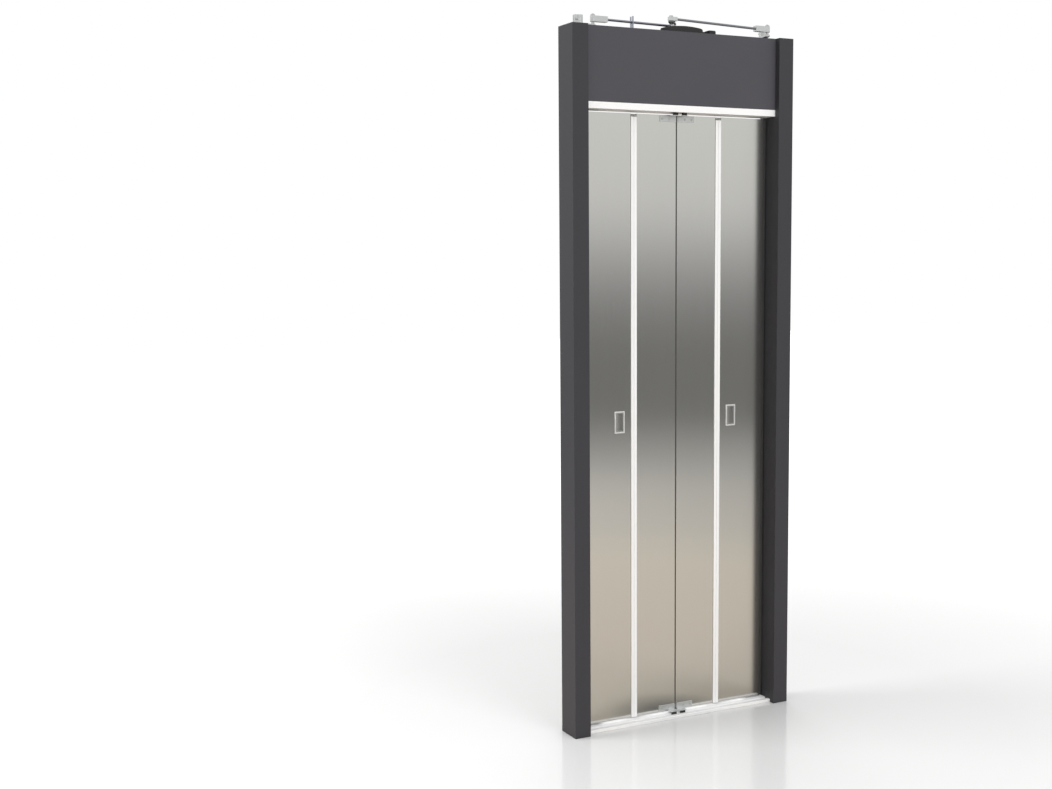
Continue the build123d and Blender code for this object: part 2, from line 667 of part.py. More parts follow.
def drive_lever(side, turn):
    """Split clamp hub on the pivot shaft with a flat arm. The clamp's ears point away from the arm."""
    x, y = lever_end(side, turn)
    centre = (side * PIVOT_X, PIVOT_Y)
    ends = [Pos(*centre) * Circle(HUB_RADIUS), Pos(x, y) * Circle(LEVER_END_RADIUS)]
    arm = rise(make_hull(ends[0].edges() + ends[1].edges()), LEVER_BOTTOM, LEVER_BOTTOM + LEVER_THICKNESS)
    hub_low = LEVER_BOTTOM
    hub_high = LEVER_BOTTOM + HUB_HEIGHT
    slit_low = LEVER_BOTTOM + LEVER_THICKNESS
    turned = Pos(*centre) * Rot(0, 0, turn)
    ears = turned * Pos(-CLAMP_REACH / 2, 0) * Rectangle(CLAMP_REACH, CLAMP_WIDTH)
    slit = turned * Pos(-CLAMP_REACH, 0) * Rectangle(2 * CLAMP_REACH, CLAMP_SLIT)
    hub = rise(Pos(*centre) * Circle(HUB_RADIUS) + ears, hub_low, hub_high)
    bore = post(*centre, hub_low - OVERCUT, hub_high + OVERCUT, SHAFT_HOLE)
    return arm + hub - bore - rise(slit, slit_low, hub_high + OVERCUT)


def outer_rod_end(x, y, direction):
    """Forged end of a rod over a lever stud. direction points along X to the rod."""
    low = FRAME_HEIGHT + ROD_LEVEL - ROD_END_SIZE / 2
    section = Pos(x, y) * Circle(ROD_END_SIZE / 2)
    half = ROD_END_SIZE / 2
    shank = rectangle(sorted((x, x + direction * ROD_END_LENGTH)), (y - half, y + half))
    block = rise(section + shank, low, low + ROD_END_SIZE)
    return block - post(x, y, low - OVERCUT, low + ROD_END_SIZE + OVERCUT, STUD_RADIUS + SHAFT_CLEARANCE)


def lever_stud(x, y):
    """Stud from a lever up through the rod end."""
    top = FRAME_HEIGHT + ROD_LEVEL + ROD_END_SIZE / 2
    return post(x, y, LEVER_BOTTOM + LEVER_THICKNESS, top, STUD_RADIUS)


def rod_axis(direction):
    """Both ends of a rod's middle line. direction is -1 for the left rod."""
    if direction < 0:
        x, y = lever_end(-1, 0)
        pin_x, pin_y = crank_pin(1)
        level = FRAME_HEIGHT + CRANK_LEVEL - LOW_EYE_THICKNESS / 2
        inner = (pin_x - LOW_EYE_REACH - SEAT_CLEARANCE, pin_y, level)
    else:
        x, y = lever_end(1, RIGHT_LEVER_TURN)
        pin_x, pin_y = crank_pin(-1)
        level = FRAME_HEIGHT + CRANK_LEVEL + CRANK_THICKNESS + HIGH_BLOCK_HEIGHT / 2
        inner = (pin_x + HIGH_BLOCK_REACH + SEAT_CLEARANCE, pin_y, level)
    outer = (x - direction * (ROD_END_LENGTH + SEAT_CLEARANCE), y, FRAME_HEIGHT + ROD_LEVEL)
    return outer, inner


def crank_pin(direction):
    """Centre of one pin of the crank bar."""
    angle = math.radians(CRANK_TURN)
    reach = direction * CRANK_REACH
    return CRANK_X + reach * math.cos(angle), DRIVE_Y + reach * math.sin(angle)


def crank_bar():
    """Flat bar that swings on the crank shaft and pulls both rods."""
    low = FRAME_HEIGHT + CRANK_LEVEL
    ends = [Pos(*crank_pin(direction)) * Circle(CRANK_END_RADIUS) for direction in (-1, 1)]
    bar = rise(make_hull(ends[0].edges() + ends[1].edges()), low, low + CRANK_THICKNESS)
    hub = post(CRANK_X, DRIVE_Y, low, low + 2 * CRANK_THICKNESS, CRANK_END_RADIUS)
    shape = bar + hub - post(CRANK_X, DRIVE_Y, low - OVERCUT, low + 3 * CRANK_THICKNESS, SHAFT_HOLE)
    pin_hole = ROD_RADIUS + SHAFT_CLEARANCE
    for direction in (-1, 1):
        x, y = crank_pin(direction)
        shape -= post(x, y, low - OVERCUT, low + CRANK_THICKNESS + OVERCUT, pin_hole)
    return shape


def belt_section(grow):
    """Outline round both pulleys, a little larger than they are."""
    crank = Pos(CRANK_X, DRIVE_Y) * Circle(CRANK_PULLEY_RADIUS + grow)
    motor = Pos(OUTPUT_X, DRIVE_Y) * Circle(MOTOR_PULLEY_RADIUS + grow)
    return make_hull(crank.edges() + motor.edges())


def drive_belt():
    """Toothed belt, drawn as a plain band, between the two pulleys."""
    low = FRAME_HEIGHT + BELT_LEVEL
    section = belt_section(SHAFT_CLEARANCE + BELT_THICKNESS) - belt_section(SHAFT_CLEARANCE)
    return rise(section, low, low + BELT_WIDTH)


def pulley(x, radius):
    """Pulley with its hub, bored for a shaft."""
    low = FRAME_HEIGHT + BELT_LEVEL
    wheel = post(x, DRIVE_Y, low, low + BELT_WIDTH, radius)
    return wheel - post(x, DRIVE_Y, low - OVERCUT, low + BELT_WIDTH + OVERCUT, SHAFT_HOLE)


def belt_window(x_span):
    """The space that the belt needs through the end of a cover."""
    half = CRANK_PULLEY_RADIUS + BELT_THICKNESS + BELT_ROOM
    high = FRAME_HEIGHT + BELT_LEVEL + BELT_WIDTH + BELT_ROOM
    return slab(x_span, (DRIVE_Y - half, DRIVE_Y + half), (FRAME_HEIGHT, high))


def cover_form(inset):
    """Domed form of the drive cover, drawn in by inset on every side but the bottom."""
    width = COVER_WIDTH - 2 * inset
    section = RectangleRounded(COVER_LENGTH - 2 * inset, width, width / 2 - OVERCUT)
    low = FRAME_HEIGHT
    high = FRAME_HEIGHT + COVER_HEIGHT - inset
    form = rise(Pos(COVER_CENTRE_X, DRIVE_Y) * section, low, high)
    x_low = COVER_CENTRE_X - COVER_LENGTH / 2
    x_high = COVER_CENTRE_X + COVER_LENGTH / 2
    side = Plane(origin=(0, DRIVE_Y + COVER_WIDTH, 0), x_dir=(1, 0, 0), z_dir=(0, -1, 0))
    crown = ThreePointArc((x_high, high - COVER_CROWN), (COVER_CENTRE_X, high), (x_low, high - COVER_CROWN))
    walls = Polyline((x_low, high - COVER_CROWN), (x_low, low), (x_high, low), (x_high, high - COVER_CROWN))
    form = form & extrude(side * make_face([walls, crown]), amount=2 * COVER_WIDTH)
    dome = form.faces().sort_by(Axis.Z)[-1]
    return fillet(dome.edges(), radius=COVER_EDGE_RADIUS - inset)


def drive_cover():
    """Black domed cover over the crank pulley, with a soft upper edge and an open underside."""
    outside = cover_form(0)
    inside = cover_form(COVER_WALL)
    end_x = COVER_CENTRE_X + COVER_LENGTH / 2
    window = belt_window((end_x - COVER_WIDTH / 2, end_x + OVERCUT))
    hole = post(CRANK_X, DRIVE_Y, FRAME_HEIGHT, FRAME_HEIGHT + COVER_HEIGHT + OVERCUT, SHAFT_HOLE)
    return outside - inside - window - hole


def pulley_cover():
    """Small rounded cover over the motor pulley."""
    section = RectangleRounded(PULLEY_COVER_LENGTH, PULLEY_COVER_WIDTH, PULLEY_COVER_CORNER)
    outside = rise(Pos(OUTPUT_X, DRIVE_Y) * section, FRAME_HEIGHT, FRAME_HEIGHT + PULLEY_COVER_HEIGHT)
    outside = fillet(outside.faces().sort_by(Axis.Z)[-1].edges(), radius=PULLEY_COVER_EDGE_RADIUS)
    inside = slab(
        (OUTPUT_X - PULLEY_COVER_LENGTH / 2 - OVERCUT, OUTPUT_X + PULLEY_COVER_LENGTH / 2 - COVER_WALL),
        (DRIVE_Y - PULLEY_COVER_WIDTH / 2 + COVER_WALL, DRIVE_Y + PULLEY_COVER_WIDTH / 2 - COVER_WALL),
        (FRAME_HEIGHT, FRAME_HEIGHT + PULLEY_COVER_HEIGHT - COVER_WALL),
    )
    return outside - inside


def crank_shaft():
    """Shaft of the crank, from a bearing under the header's top plate up through the bar."""
    low = FRAME_HEIGHT - FRAME_WALL - BEARING_HEIGHT
    top = FRAME_HEIGHT + CRANK_LEVEL + 2 * CRANK_THICKNESS + SHAFT_CLEARANCE
    shaft = post(CRANK_X, DRIVE_Y, low, top, SHAFT_RADIUS)
    flange = post(CRANK_X, DRIVE_Y, low, FRAME_HEIGHT - FRAME_WALL, BEARING_RADIUS)
    return shaft + flange


def inner_rod_end_low():
    """Flat eye of the left rod, under the crank bar."""
    x, y = crank_pin(1)
    high = FRAME_HEIGHT + CRANK_LEVEL
    low = high - LOW_EYE_THICKNESS
    half = ROD_RADIUS + SHEET
    eye = post(x, y, low, high, CRANK_END_RADIUS)
    neck = slab((x - LOW_EYE_REACH, x), (y - half, y + half), (low, high))
    return eye + neck - post(x, y, low - OVERCUT, high + OVERCUT, ROD_RADIUS + SHAFT_CLEARANCE)


def inner_rod_end_high():
    """Block of the right rod, on top of the crank bar."""
    x, y = crank_pin(-1)
    low = FRAME_HEIGHT + CRANK_LEVEL + CRANK_THICKNESS
    high = low + HIGH_BLOCK_HEIGHT
    centre = Pos(x + HIGH_BLOCK_REACH - HIGH_BLOCK_LENGTH / 2, y)
    section = RectangleRounded(HIGH_BLOCK_LENGTH, HIGH_BLOCK_WIDTH, HIGH_BLOCK_CORNER)
    block = rise(centre * section, low, high)
    return block - post(x, y, low - OVERCUT, high + OVERCUT, ROD_RADIUS + SHAFT_CLEARANCE)


def crank_bolt(direction):
    """Bolt through a rod end and the crank bar."""
    x, y = crank_pin(direction)
    low = FRAME_HEIGHT + CRANK_LEVEL
    high = low + CRANK_THICKNESS
    if direction > 0:
        low -= LOW_EYE_THICKNESS
    else:
        high += HIGH_BLOCK_HEIGHT
    return post(x, y, low, high, ROD_RADIUS) + post(x, y, high, high + BOLT_HEAD_HEIGHT, BOLT_HEAD_RADIUS)


def end_stop():
    """Bright stop block beside the cover, with its upright pin."""
    y_low = DRIVE_Y + COVER_WIDTH / 2 + SEAT_CLEARANCE
    x_low = STOP_CENTRE_X - STOP_LENGTH / 2
    pin_low = FRAME_HEIGHT + STOP_HEIGHT
    block = slab((x_low, x_low + STOP_LENGTH), (y_low, y_low + STOP_WIDTH), (FRAME_HEIGHT, pin_low))
    block = chamfer(block.edges().filter_by(Axis.Z), length=STOP_CHAMFER)
    pin = post(x_low + STOP_WIDTH / 2, y_low + STOP_WIDTH / 2, pin_low, pin_low + STOP_PIN_RISE, STUD_RADIUS)
    return block + pin


def rod_post():
    """Folded steady on the header, with a fork that the left rod passes through."""
    outer, inner = rod_axis(-1)
    share = (ROD_POST_X - outer[0]) / (inner[0] - outer[0])
    rod_y = outer[1] + share * (inner[1] - outer[1])
    rod_z = outer[2] + share * (inner[2] - outer[2])
    low = FRAME_HEIGHT
    high = FRAME_HEIGHT + ROD_POST_HEIGHT
    half = ROD_POST_WIDTH / 2
    gap = ROD_RADIUS + SEAT_CLEARANCE
    plate = ROD_POST_PLATE / 2
    span_x = (ROD_POST_X - half, ROD_POST_X + half)
    span_y = (rod_y - half, rod_y + half)
    foot = slab(span_x, span_y, (low, low + ROD_POST_PLATE))
    upright = slab((ROD_POST_X - plate, ROD_POST_X + plate), span_y, (low, high))
    slot = slab(span_x, (rod_y - gap, rod_y + gap), (rod_z - gap, high + OVERCUT))
    return foot + upright - slot


def grommet(x):
    """Low rubber cable entry on the header's top plate."""
    section = RectangleRounded(GROMMET_LENGTH, GROMMET_WIDTH, GROMMET_CORNER)
    base = rise(Pos(x, PIVOT_Y) * section, FRAME_HEIGHT, FRAME_HEIGHT + GROMMET_HEIGHT)
    return fillet(base.faces().sort_by(Axis.Z)[-1].edges(), radius=GROMMET_EDGE_RADIUS)


def motor():
    """Round motor lying along the header, with an end cap of smaller size."""
    start = (MOTOR_START_X, DRIVE_Y, MOTOR_Z)
    body = bar_between(start, (MOTOR_START_X + MOTOR_LENGTH, DRIVE_Y, MOTOR_Z), MOTOR_RADIUS)
    cap_start = (MOTOR_START_X - MOTOR_CAP, DRIVE_Y, MOTOR_Z)
    return body + bar_between(cap_start, start, MOTOR_RADIUS - MOTOR_CAP_STEP)


def gearbox():
    """Right-angle gearbox on the end of the motor, ribbed round its case, with its output shaft."""
    x_low = MOTOR_START_X + MOTOR_LENGTH
    profile = Plane(origin=(x_low, DRIVE_Y, MOTOR_Z), x_dir=(0, 1, 0), z_dir=(1, 0, 0))
    full = RectangleRounded(GEARBOX_WIDTH, GEARBOX_HEIGHT, GEARBOX_CORNER)
    slim = offset(full, amount=-GEARBOX_GROOVE_DEPTH)
    case = extrude(profile * full, amount=GEARBOX_LENGTH)
    run = GEARBOX_LENGTH - 2 * GEARBOX_END_PLATE - GEARBOX_GROOVE_WIDTH
    for number in range(GEARBOX_GROOVE_COUNT):
        start = GEARBOX_END_PLATE + number * run / (GEARBOX_GROOVE_COUNT - 1)
        case -= extrude(profile.offset(start) * (full - slim), amount=GEARBOX_GROOVE_WIDTH)
    top = MOTOR_Z + GEARBOX_HEIGHT / 2 + OUTPUT_BOSS
    boss = post(OUTPUT_X, DRIVE_Y, MOTOR_Z, top, BEARING_RADIUS)
    shaft = post(OUTPUT_X, DRIVE_Y, MOTOR_Z, FRAME_HEIGHT + BELT_LEVEL + BELT_WIDTH, SHAFT_RADIUS)
    return case + boss + shaft


def motor_bracket():
    """Folded channel that hangs the gearbox under the header's top plate."""
    low = MOTOR_Z + GEARBOX_HEIGHT / 2 + OUTPUT_BOSS
    high = FRAME_HEIGHT - FRAME_WALL
    start = MOTOR_START_X + MOTOR_LENGTH
    x_span = (start, start + GEARBOX_LENGTH)
    y_span = (DRIVE_Y - GEARBOX_WIDTH / 2, DRIVE_Y + GEARBOX_WIDTH / 2)
    web = slab(x_span, y_span, (low, low + PIVOT_PLATE))
    cheeks = [slab((x, x + PIVOT_PLATE), y_span, (low, high)) for x in (x_span[0], x_span[1] - PIVOT_PLATE)]
    return web + cheeks[0] + cheeks[1] - post(OUTPUT_X, DRIVE_Y, low - OVERCUT, high, SHAFT_HOLE)


def device_plate():
    """Plate on the inside of the header's front panel that carries board, transformer and relays."""
    low = BOX_BOTTOM + DEVICE_PLATE_RISE
    span_x = (BOARD_X - BOARD_WIDTH / 2, RELAY_X + RELAY_WIDTH / 2)
    return slab(span_x, (DEVICE_FRONT - DEVICE_PLATE, DEVICE_FRONT), (low, low + DEVICE_PLATE_HEIGHT))


def control_board():
    """Green circuit board on four standoffs on the device plate."""
    half_width = BOARD_WIDTH / 2
    half_height = BOARD_HEIGHT / 2
    board = slab(
        (BOARD_X - half_width, BOARD_X + half_width),
        (BOARD_FRONT, BOARD_FRONT + BOARD_THICKNESS),
        (BOARD_Z - half_height, BOARD_Z + half_height),
    )
    for x_side in (-1, 1):
        for z_side in (-1, 1):
            x = BOARD_X + x_side * (half_width - STANDOFF_INSET)
            z = BOARD_Z + z_side * (half_height - STANDOFF_INSET)
            board += bar_between((x, BOARD_FRONT - STANDOFF, z), (x, BOARD_FRONT, z), STANDOFF_RADIUS)
    return board


def board_blocks():
    """Terminal rows, relays, capacitors and a heat sink, each standing on the board."""
    y = BOARD_FRONT + BOARD_THICKNESS
    left = BOARD_X - BOARD_WIDTH / 2
    blocks = []
    for start, width, middle, height, depth in BOARD_BLOCKS:
        low = BOARD_Z + middle - height / 2
        blocks.append(slab((left + start, left + start + width), (y, y + depth), (low, low + height)))
    x = left + CAPACITOR_INSET
    for number in range(CAPACITOR_COUNT):
        z = BOARD_Z + CAPACITOR_RISE - number * CAPACITOR_PITCH
        blocks.append(bar_between((x, y, z), (x, y + CAPACITOR_HEIGHT, z), CAPACITOR_RADIUS))
    return blocks


def transformer_core():
    """Laminated core on a folded foot that reaches back to the device plate."""
    half = TRANSFORMER_WIDTH / 2
    span_y = (TRANSFORMER_FRONT, TRANSFORMER_FRONT + TRANSFORMER_DEPTH)
    core = slab(
        (TRANSFORMER_X - half, TRANSFORMER_X + half),
        span_y,
        (TRANSFORMER_LOW, TRANSFORMER_LOW + TRANSFORMER_HEIGHT),
    )
    core = chamfer(core.edges().filter_by(Axis.Y), length=TRANSFORMER_CHAMFER)
    foot_half = half + TRANSFORMER_FOOT
    foot_z = (TRANSFORMER_LOW, TRANSFORMER_LOW + TRANSFORMER_FOOT_HEIGHT)
    foot_x = (TRANSFORMER_X - foot_half, TRANSFORMER_X + half)
    return core + slab(foot_x, (DEVICE_FRONT, span_y[1]), foot_z)


def transformer_winding():
    """Copper winding that swells out above the core."""
    low = TRANSFORMER_LOW + TRANSFORMER_HEIGHT
    y = TRANSFORMER_FRONT + TRANSFORMER_DEPTH / 2
    section = RectangleRounded(WINDING_WIDTH, WINDING_DEPTH, WINDING_CORNER)
    coil = rise(Pos(TRANSFORMER_X, y) * section, low, low + WINDING_RISE)
    return fillet(coil.faces().sort_by(Axis.Z)[-1].edges(), radius=WINDING_EDGE_RADIUS)


def relay_stack():
    """Relays in three tiers, with the terminal rows stepped back above each other."""
    low = BOX_BOTTOM + RELAY_RISE
    y = DEVICE_FRONT
    tiers = []
    for number, height in enumerate(RELAY_HEIGHTS):
        half = RELAY_WIDTH / 2 - number * RELAY_SIDE_STEP
        depth = RELAY_DEPTH - number * RELAY_FACE_STEP
        tiers.append(slab((RELAY_X - half, RELAY_X + half), (y, y + depth), (low, low + height)))
        low += height
    return tiers[0] + tiers[1] + tiers[2]


def routed_tube(points, radius):
    """Tube of straight runs joined by arcs as large as its two runs allow."""
    vectors = [Vector(*point) for point in points]
    radii = []
    for before, here, after in zip(vectors, vectors[1:], vectors[2:]):
        first = here - before
        second = after - here
        turn = math.radians(first.get_angle(second))
        radii.append(0.45 * min(first.length, second.length) / math.tan(turn / 2))
    print("cable radii", [round(value, 1) for value in radii])
    path = FilletPolyline(*vectors, radius=radii)
    plane = Plane(origin=vectors[0], z_dir=vectors[1] - vectors[0])
    return sweep(plane * Circle(radius), path=path)


def conduit_points():
    """Middle line of the conduit, from the header's top down to the wall and along to the relays."""
    drop = [(INNER - inset, CONDUIT_Y + off, CONDUIT_TOP - below) for inset, off, below in CONDUIT_DROP]
    bend = [(INNER - inset, CONDUIT_Y + off, BOX_BOTTOM + above) for inset, off, above in CONDUIT_BEND]
    tail = [(RELAY_X + along, CONDUIT_Y + off, BOX_BOTTOM + above) for along, off, above in CONDUIT_TAIL]
    end = (RELAY_X + RELAY_WIDTH / 2 + SEAT_CLEARANCE, CONDUIT_Y, BOX_BOTTOM + CONDUIT_END_RISE)
    return [*drop, *bend, *tail, end]


def conduit():
    """Black conduit clipped to the inside of the header's front panel."""
    return routed_tube(conduit_points(), CONDUIT_RADIUS)


def motor_lead():
    """Motor cable from the end cap to the board's terminals."""
    start_x = MOTOR_START_X - MOTOR_CAP - SEAT_CLEARANCE
    run = [(start_x - along, DRIVE_Y + off, MOTOR_Z + above) for along, off, above in LEAD_START + LEAD_RUN]
    end_x = BOARD_X + BOARD_WIDTH / 2 - LEAD_END_INSET
    end = (end_x, HEADER_FRONT + FRAME_WALL + LEAD_END_DEPTH, BOARD_Z + LEAD_END_RISE)
    return routed_tube([*run, end], LEAD_RADIUS)


def conduit_clip(before, after, upright):
    """Saddle clip over the middle of a straight run of the conduit, seated on the front panel."""
    x = (before[0] + after[0]) / 2
    z = (before[2] + after[2]) / 2
    y = HEADER_FRONT + FRAME_WALL
    depth = 2 * CONDUIT_RADIUS + CLIP_ROOM
    along = CLIP_LENGTH / 2
    across = CONDUIT_RADIUS + CLIP_ROOM + CLIP_WALL
    gap_across = across - CLIP_WALL
    gap_along = along + OVERCUT
    half_x, half_z = (across, along) if upright else (along, across)
    gap_x, gap_z = (gap_across, gap_along) if upright else (gap_along, gap_across)
    outside = slab((x - half_x, x + half_x), (y, y + depth + CLIP_WALL), (z - half_z, z + half_z))
    return outside - slab((x - gap_x, x + gap_x), (y - OVERCUT, y + depth), (z - gap_z, z + gap_z))


def write_frame():
    """Jambs, header box, track and sill."""
    save("left_jamb", jamb())
    save("right_jamb", other_side(jamb()))
    panel_y = (HEADER_FRONT, HEADER_FRONT + FRAME_WALL)
    save("header_front_panel", slab((-INNER, INNER), panel_y, (TRACK_TOP, FRAME_HEIGHT)))
    drive_holes = [(CRANK_X, DRIVE_Y, SHAFT_HOLE), (OUTPUT_X, DRIVE_Y, SHAFT_HOLE)]
    save("header_top_plate", header_plate(FRAME_HEIGHT, -1, TOP_LIP, pivot_holes() + drive_holes))
    save("header_bottom_plate", header_plate(TRACK_TOP, 1, SHELF_LIP, pivot_holes()))
    save("header_sides", header_side(), other_side(header_side()))
    save("upper_track", upper_track())
    save("sill", sill())


def write_leaves():
    """The four leaves with their hinges, pulls, seals and small plates."""
    singles = (
        ("outer_leaf", outer_leaf()),
        ("inner_leaf", inner_leaf()),
        ("pull_handle", pull_handle()),
    )
    for name, shape in singles:
        save(f"left_{name}", shape)
        save(f"right_{name}", other_side(shape))
    pairs = (
        ("outer_hinge_profiles", hinge_leaf(-1)),
        ("inner_hinge_profiles", hinge_leaf(1)),
        ("hinge_pins", hinge_pin()),
        ("meeting_seals", meeting_seal()),
        ("leaf_back_plates", back_plate()),
    )
    for name, shape in pairs:
        save(name, shape, other_side(shape))


def write_pivots_and_guides():
    """Posts, shafts and brackets at the jambs, shoes and brackets at the meeting edge."""
    tongue_top = CLEAR_TOP - TONGUE_GAP
    tongue_bottom = SILL_HEIGHT + TONGUE_GAP
    groove_top = CLEAR_TOP + TRACK_GROOVE_DEPTH
    groove_bottom = SILL_HEIGHT - SILL_GROOVE_DEPTH
    shoes = [
        guide_shoe(tongue_top, groove_top - SHOE_END_GAP),
        guide_shoe(groove_bottom + SHOE_END_GAP, tongue_bottom),
    ]
    backing_plates = [
        backing_plate(PANEL_TOP - GUIDE_HEIGHT, PANEL_TOP),
        backing_plate(PANEL_BOTTOM, PANEL_BOTTOM + GUIDE_HEIGHT),
    ]
    groups = (
        ("pivot_posts", [pivot_post()]),
        ("pivot_shafts", [pivot_shaft()]),
        ("floor_pivots", [floor_pivot()]),
        ("pivot_brackets", [pivot_bracket(PANEL_TOP, 1), pivot_bracket(PANEL_BOTTOM, -1)]),
        ("guide_brackets", [guide_bracket(tongue_top, 1), guide_bracket(tongue_bottom, -1)]),
        ("guide_shoes", shoes),
        ("guide_backing_plates", backing_plates),
    )
    for name, shapes in groups:
        save(name, *shapes, *[other_side(shape) for shape in shapes])


def write_drive():
    """Levers, rods and crank on top of the header."""
    left = lever_end(-1, 0)
    right = lever_end(1, RIGHT_LEVER_TURN)
    save("shaft_bearings", bearing(-1), bearing(1))
    save("drive_levers", drive_lever(-1, 0), drive_lever(1, RIGHT_LEVER_TURN))
    save("outer_rod_ends", outer_rod_end(*left, 1), outer_rod_end(*right, -1))
    save("drive_pins", lever_stud(*left), lever_stud(*right), crank_bolt(1), crank_bolt(-1))
    save("tie_rods", *[bar_between(*rod_axis(direction), ROD_RADIUS) for direction in (-1, 1)])
    save("inner_rod_ends", inner_rod_end_low(), inner_rod_end_high())
    save("crank_bar", crank_bar())
    save("crank_shaft", crank_shaft())
    save("drive_pulleys", pulley(CRANK_X, CRANK_PULLEY_RADIUS), pulley(OUTPUT_X, MOTOR_PULLEY_RADIUS))
    save("drive_belt", drive_belt())
    save("drive_cover", drive_cover())
    save("pulley_cover", pulley_cover())
    save("end_stop", end_stop())
    save("rod_post", rod_post())
    save("cable_grommets", *[grommet(x) for x in GROMMET_PLACES])


def write_header_contents():
    """Motor, electrics and cables in the open header box."""
    save("motor", motor())
    save("gearbox", gearbox())
    save("motor_bracket", motor_bracket())
    save("control_board", control_board())
    save("board_blocks", *board_blocks())
    save("device_plate", device_plate())
    save("transformer_core", transformer_core())
    save("transformer_winding", transformer_winding())
    save("relay_stack", relay_stack())
    save("conduit", conduit())
    points = conduit_points()
    down_clip = conduit_clip(points[3], points[4], True)
    along_clip = conduit_clip(points[9], points[10], False)
    save("conduit_clips", down_clip, along_clip)
    save("motor_lead", motor_lead())


os.makedirs("parts", exist_ok=True)
write_frame()
write_leaves()
write_pivots_and_guides()
write_drive()
write_header_contents()
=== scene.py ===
"""Folding lift cabin door: finishes, fasteners, electrics, studio and camera."""

import logging
import math
from dataclasses import dataclass
from enum import Enum
from typing import ClassVar, Iterable, Optional, Sequence, Union

import bmesh
import bpy
from mathutils import Matrix, Vector


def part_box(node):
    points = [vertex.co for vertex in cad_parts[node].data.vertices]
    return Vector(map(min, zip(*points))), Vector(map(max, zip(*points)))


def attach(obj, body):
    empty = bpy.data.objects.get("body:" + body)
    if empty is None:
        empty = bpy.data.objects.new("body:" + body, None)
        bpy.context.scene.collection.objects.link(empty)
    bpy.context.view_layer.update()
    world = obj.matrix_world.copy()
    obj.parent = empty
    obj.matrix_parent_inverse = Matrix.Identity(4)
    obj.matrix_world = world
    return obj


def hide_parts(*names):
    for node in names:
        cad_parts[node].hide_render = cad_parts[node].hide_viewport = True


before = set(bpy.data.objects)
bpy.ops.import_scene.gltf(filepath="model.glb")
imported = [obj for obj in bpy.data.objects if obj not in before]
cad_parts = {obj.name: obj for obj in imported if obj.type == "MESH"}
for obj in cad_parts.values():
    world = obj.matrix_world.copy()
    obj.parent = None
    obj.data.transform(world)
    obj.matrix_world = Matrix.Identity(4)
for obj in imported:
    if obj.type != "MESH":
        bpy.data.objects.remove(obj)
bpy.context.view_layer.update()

log = logging.getLogger("folding_door")

Colour = tuple[float, float, float]
Point = tuple[float, float, float]
Steps = Sequence[tuple[float, float]]
Stops = tuple[tuple[float, Colour], ...]
Value = Union[float, Colour, bpy.types.NodeSocket]
Inputs = dict[Union[str, int], Value]

WHITE: Colour = (1.0, 1.0, 1.0)
BLACK: Colour = (0.0, 0.0, 0.0)


# --- Modelling moves ---


class Facing(Enum):
    """A direction that a face or a fastener points in."""

    LEFT = (-1.0, 0.0, 0.0)
    LANDING = (0.0, -1.0, 0.0)
    CABIN = (0.0, 1.0, 0.0)
    UP = (0.0, 0.0, 1.0)

    def vector(self) -> Vector:
        """The direction as a vector."""
        return Vector(self.value)


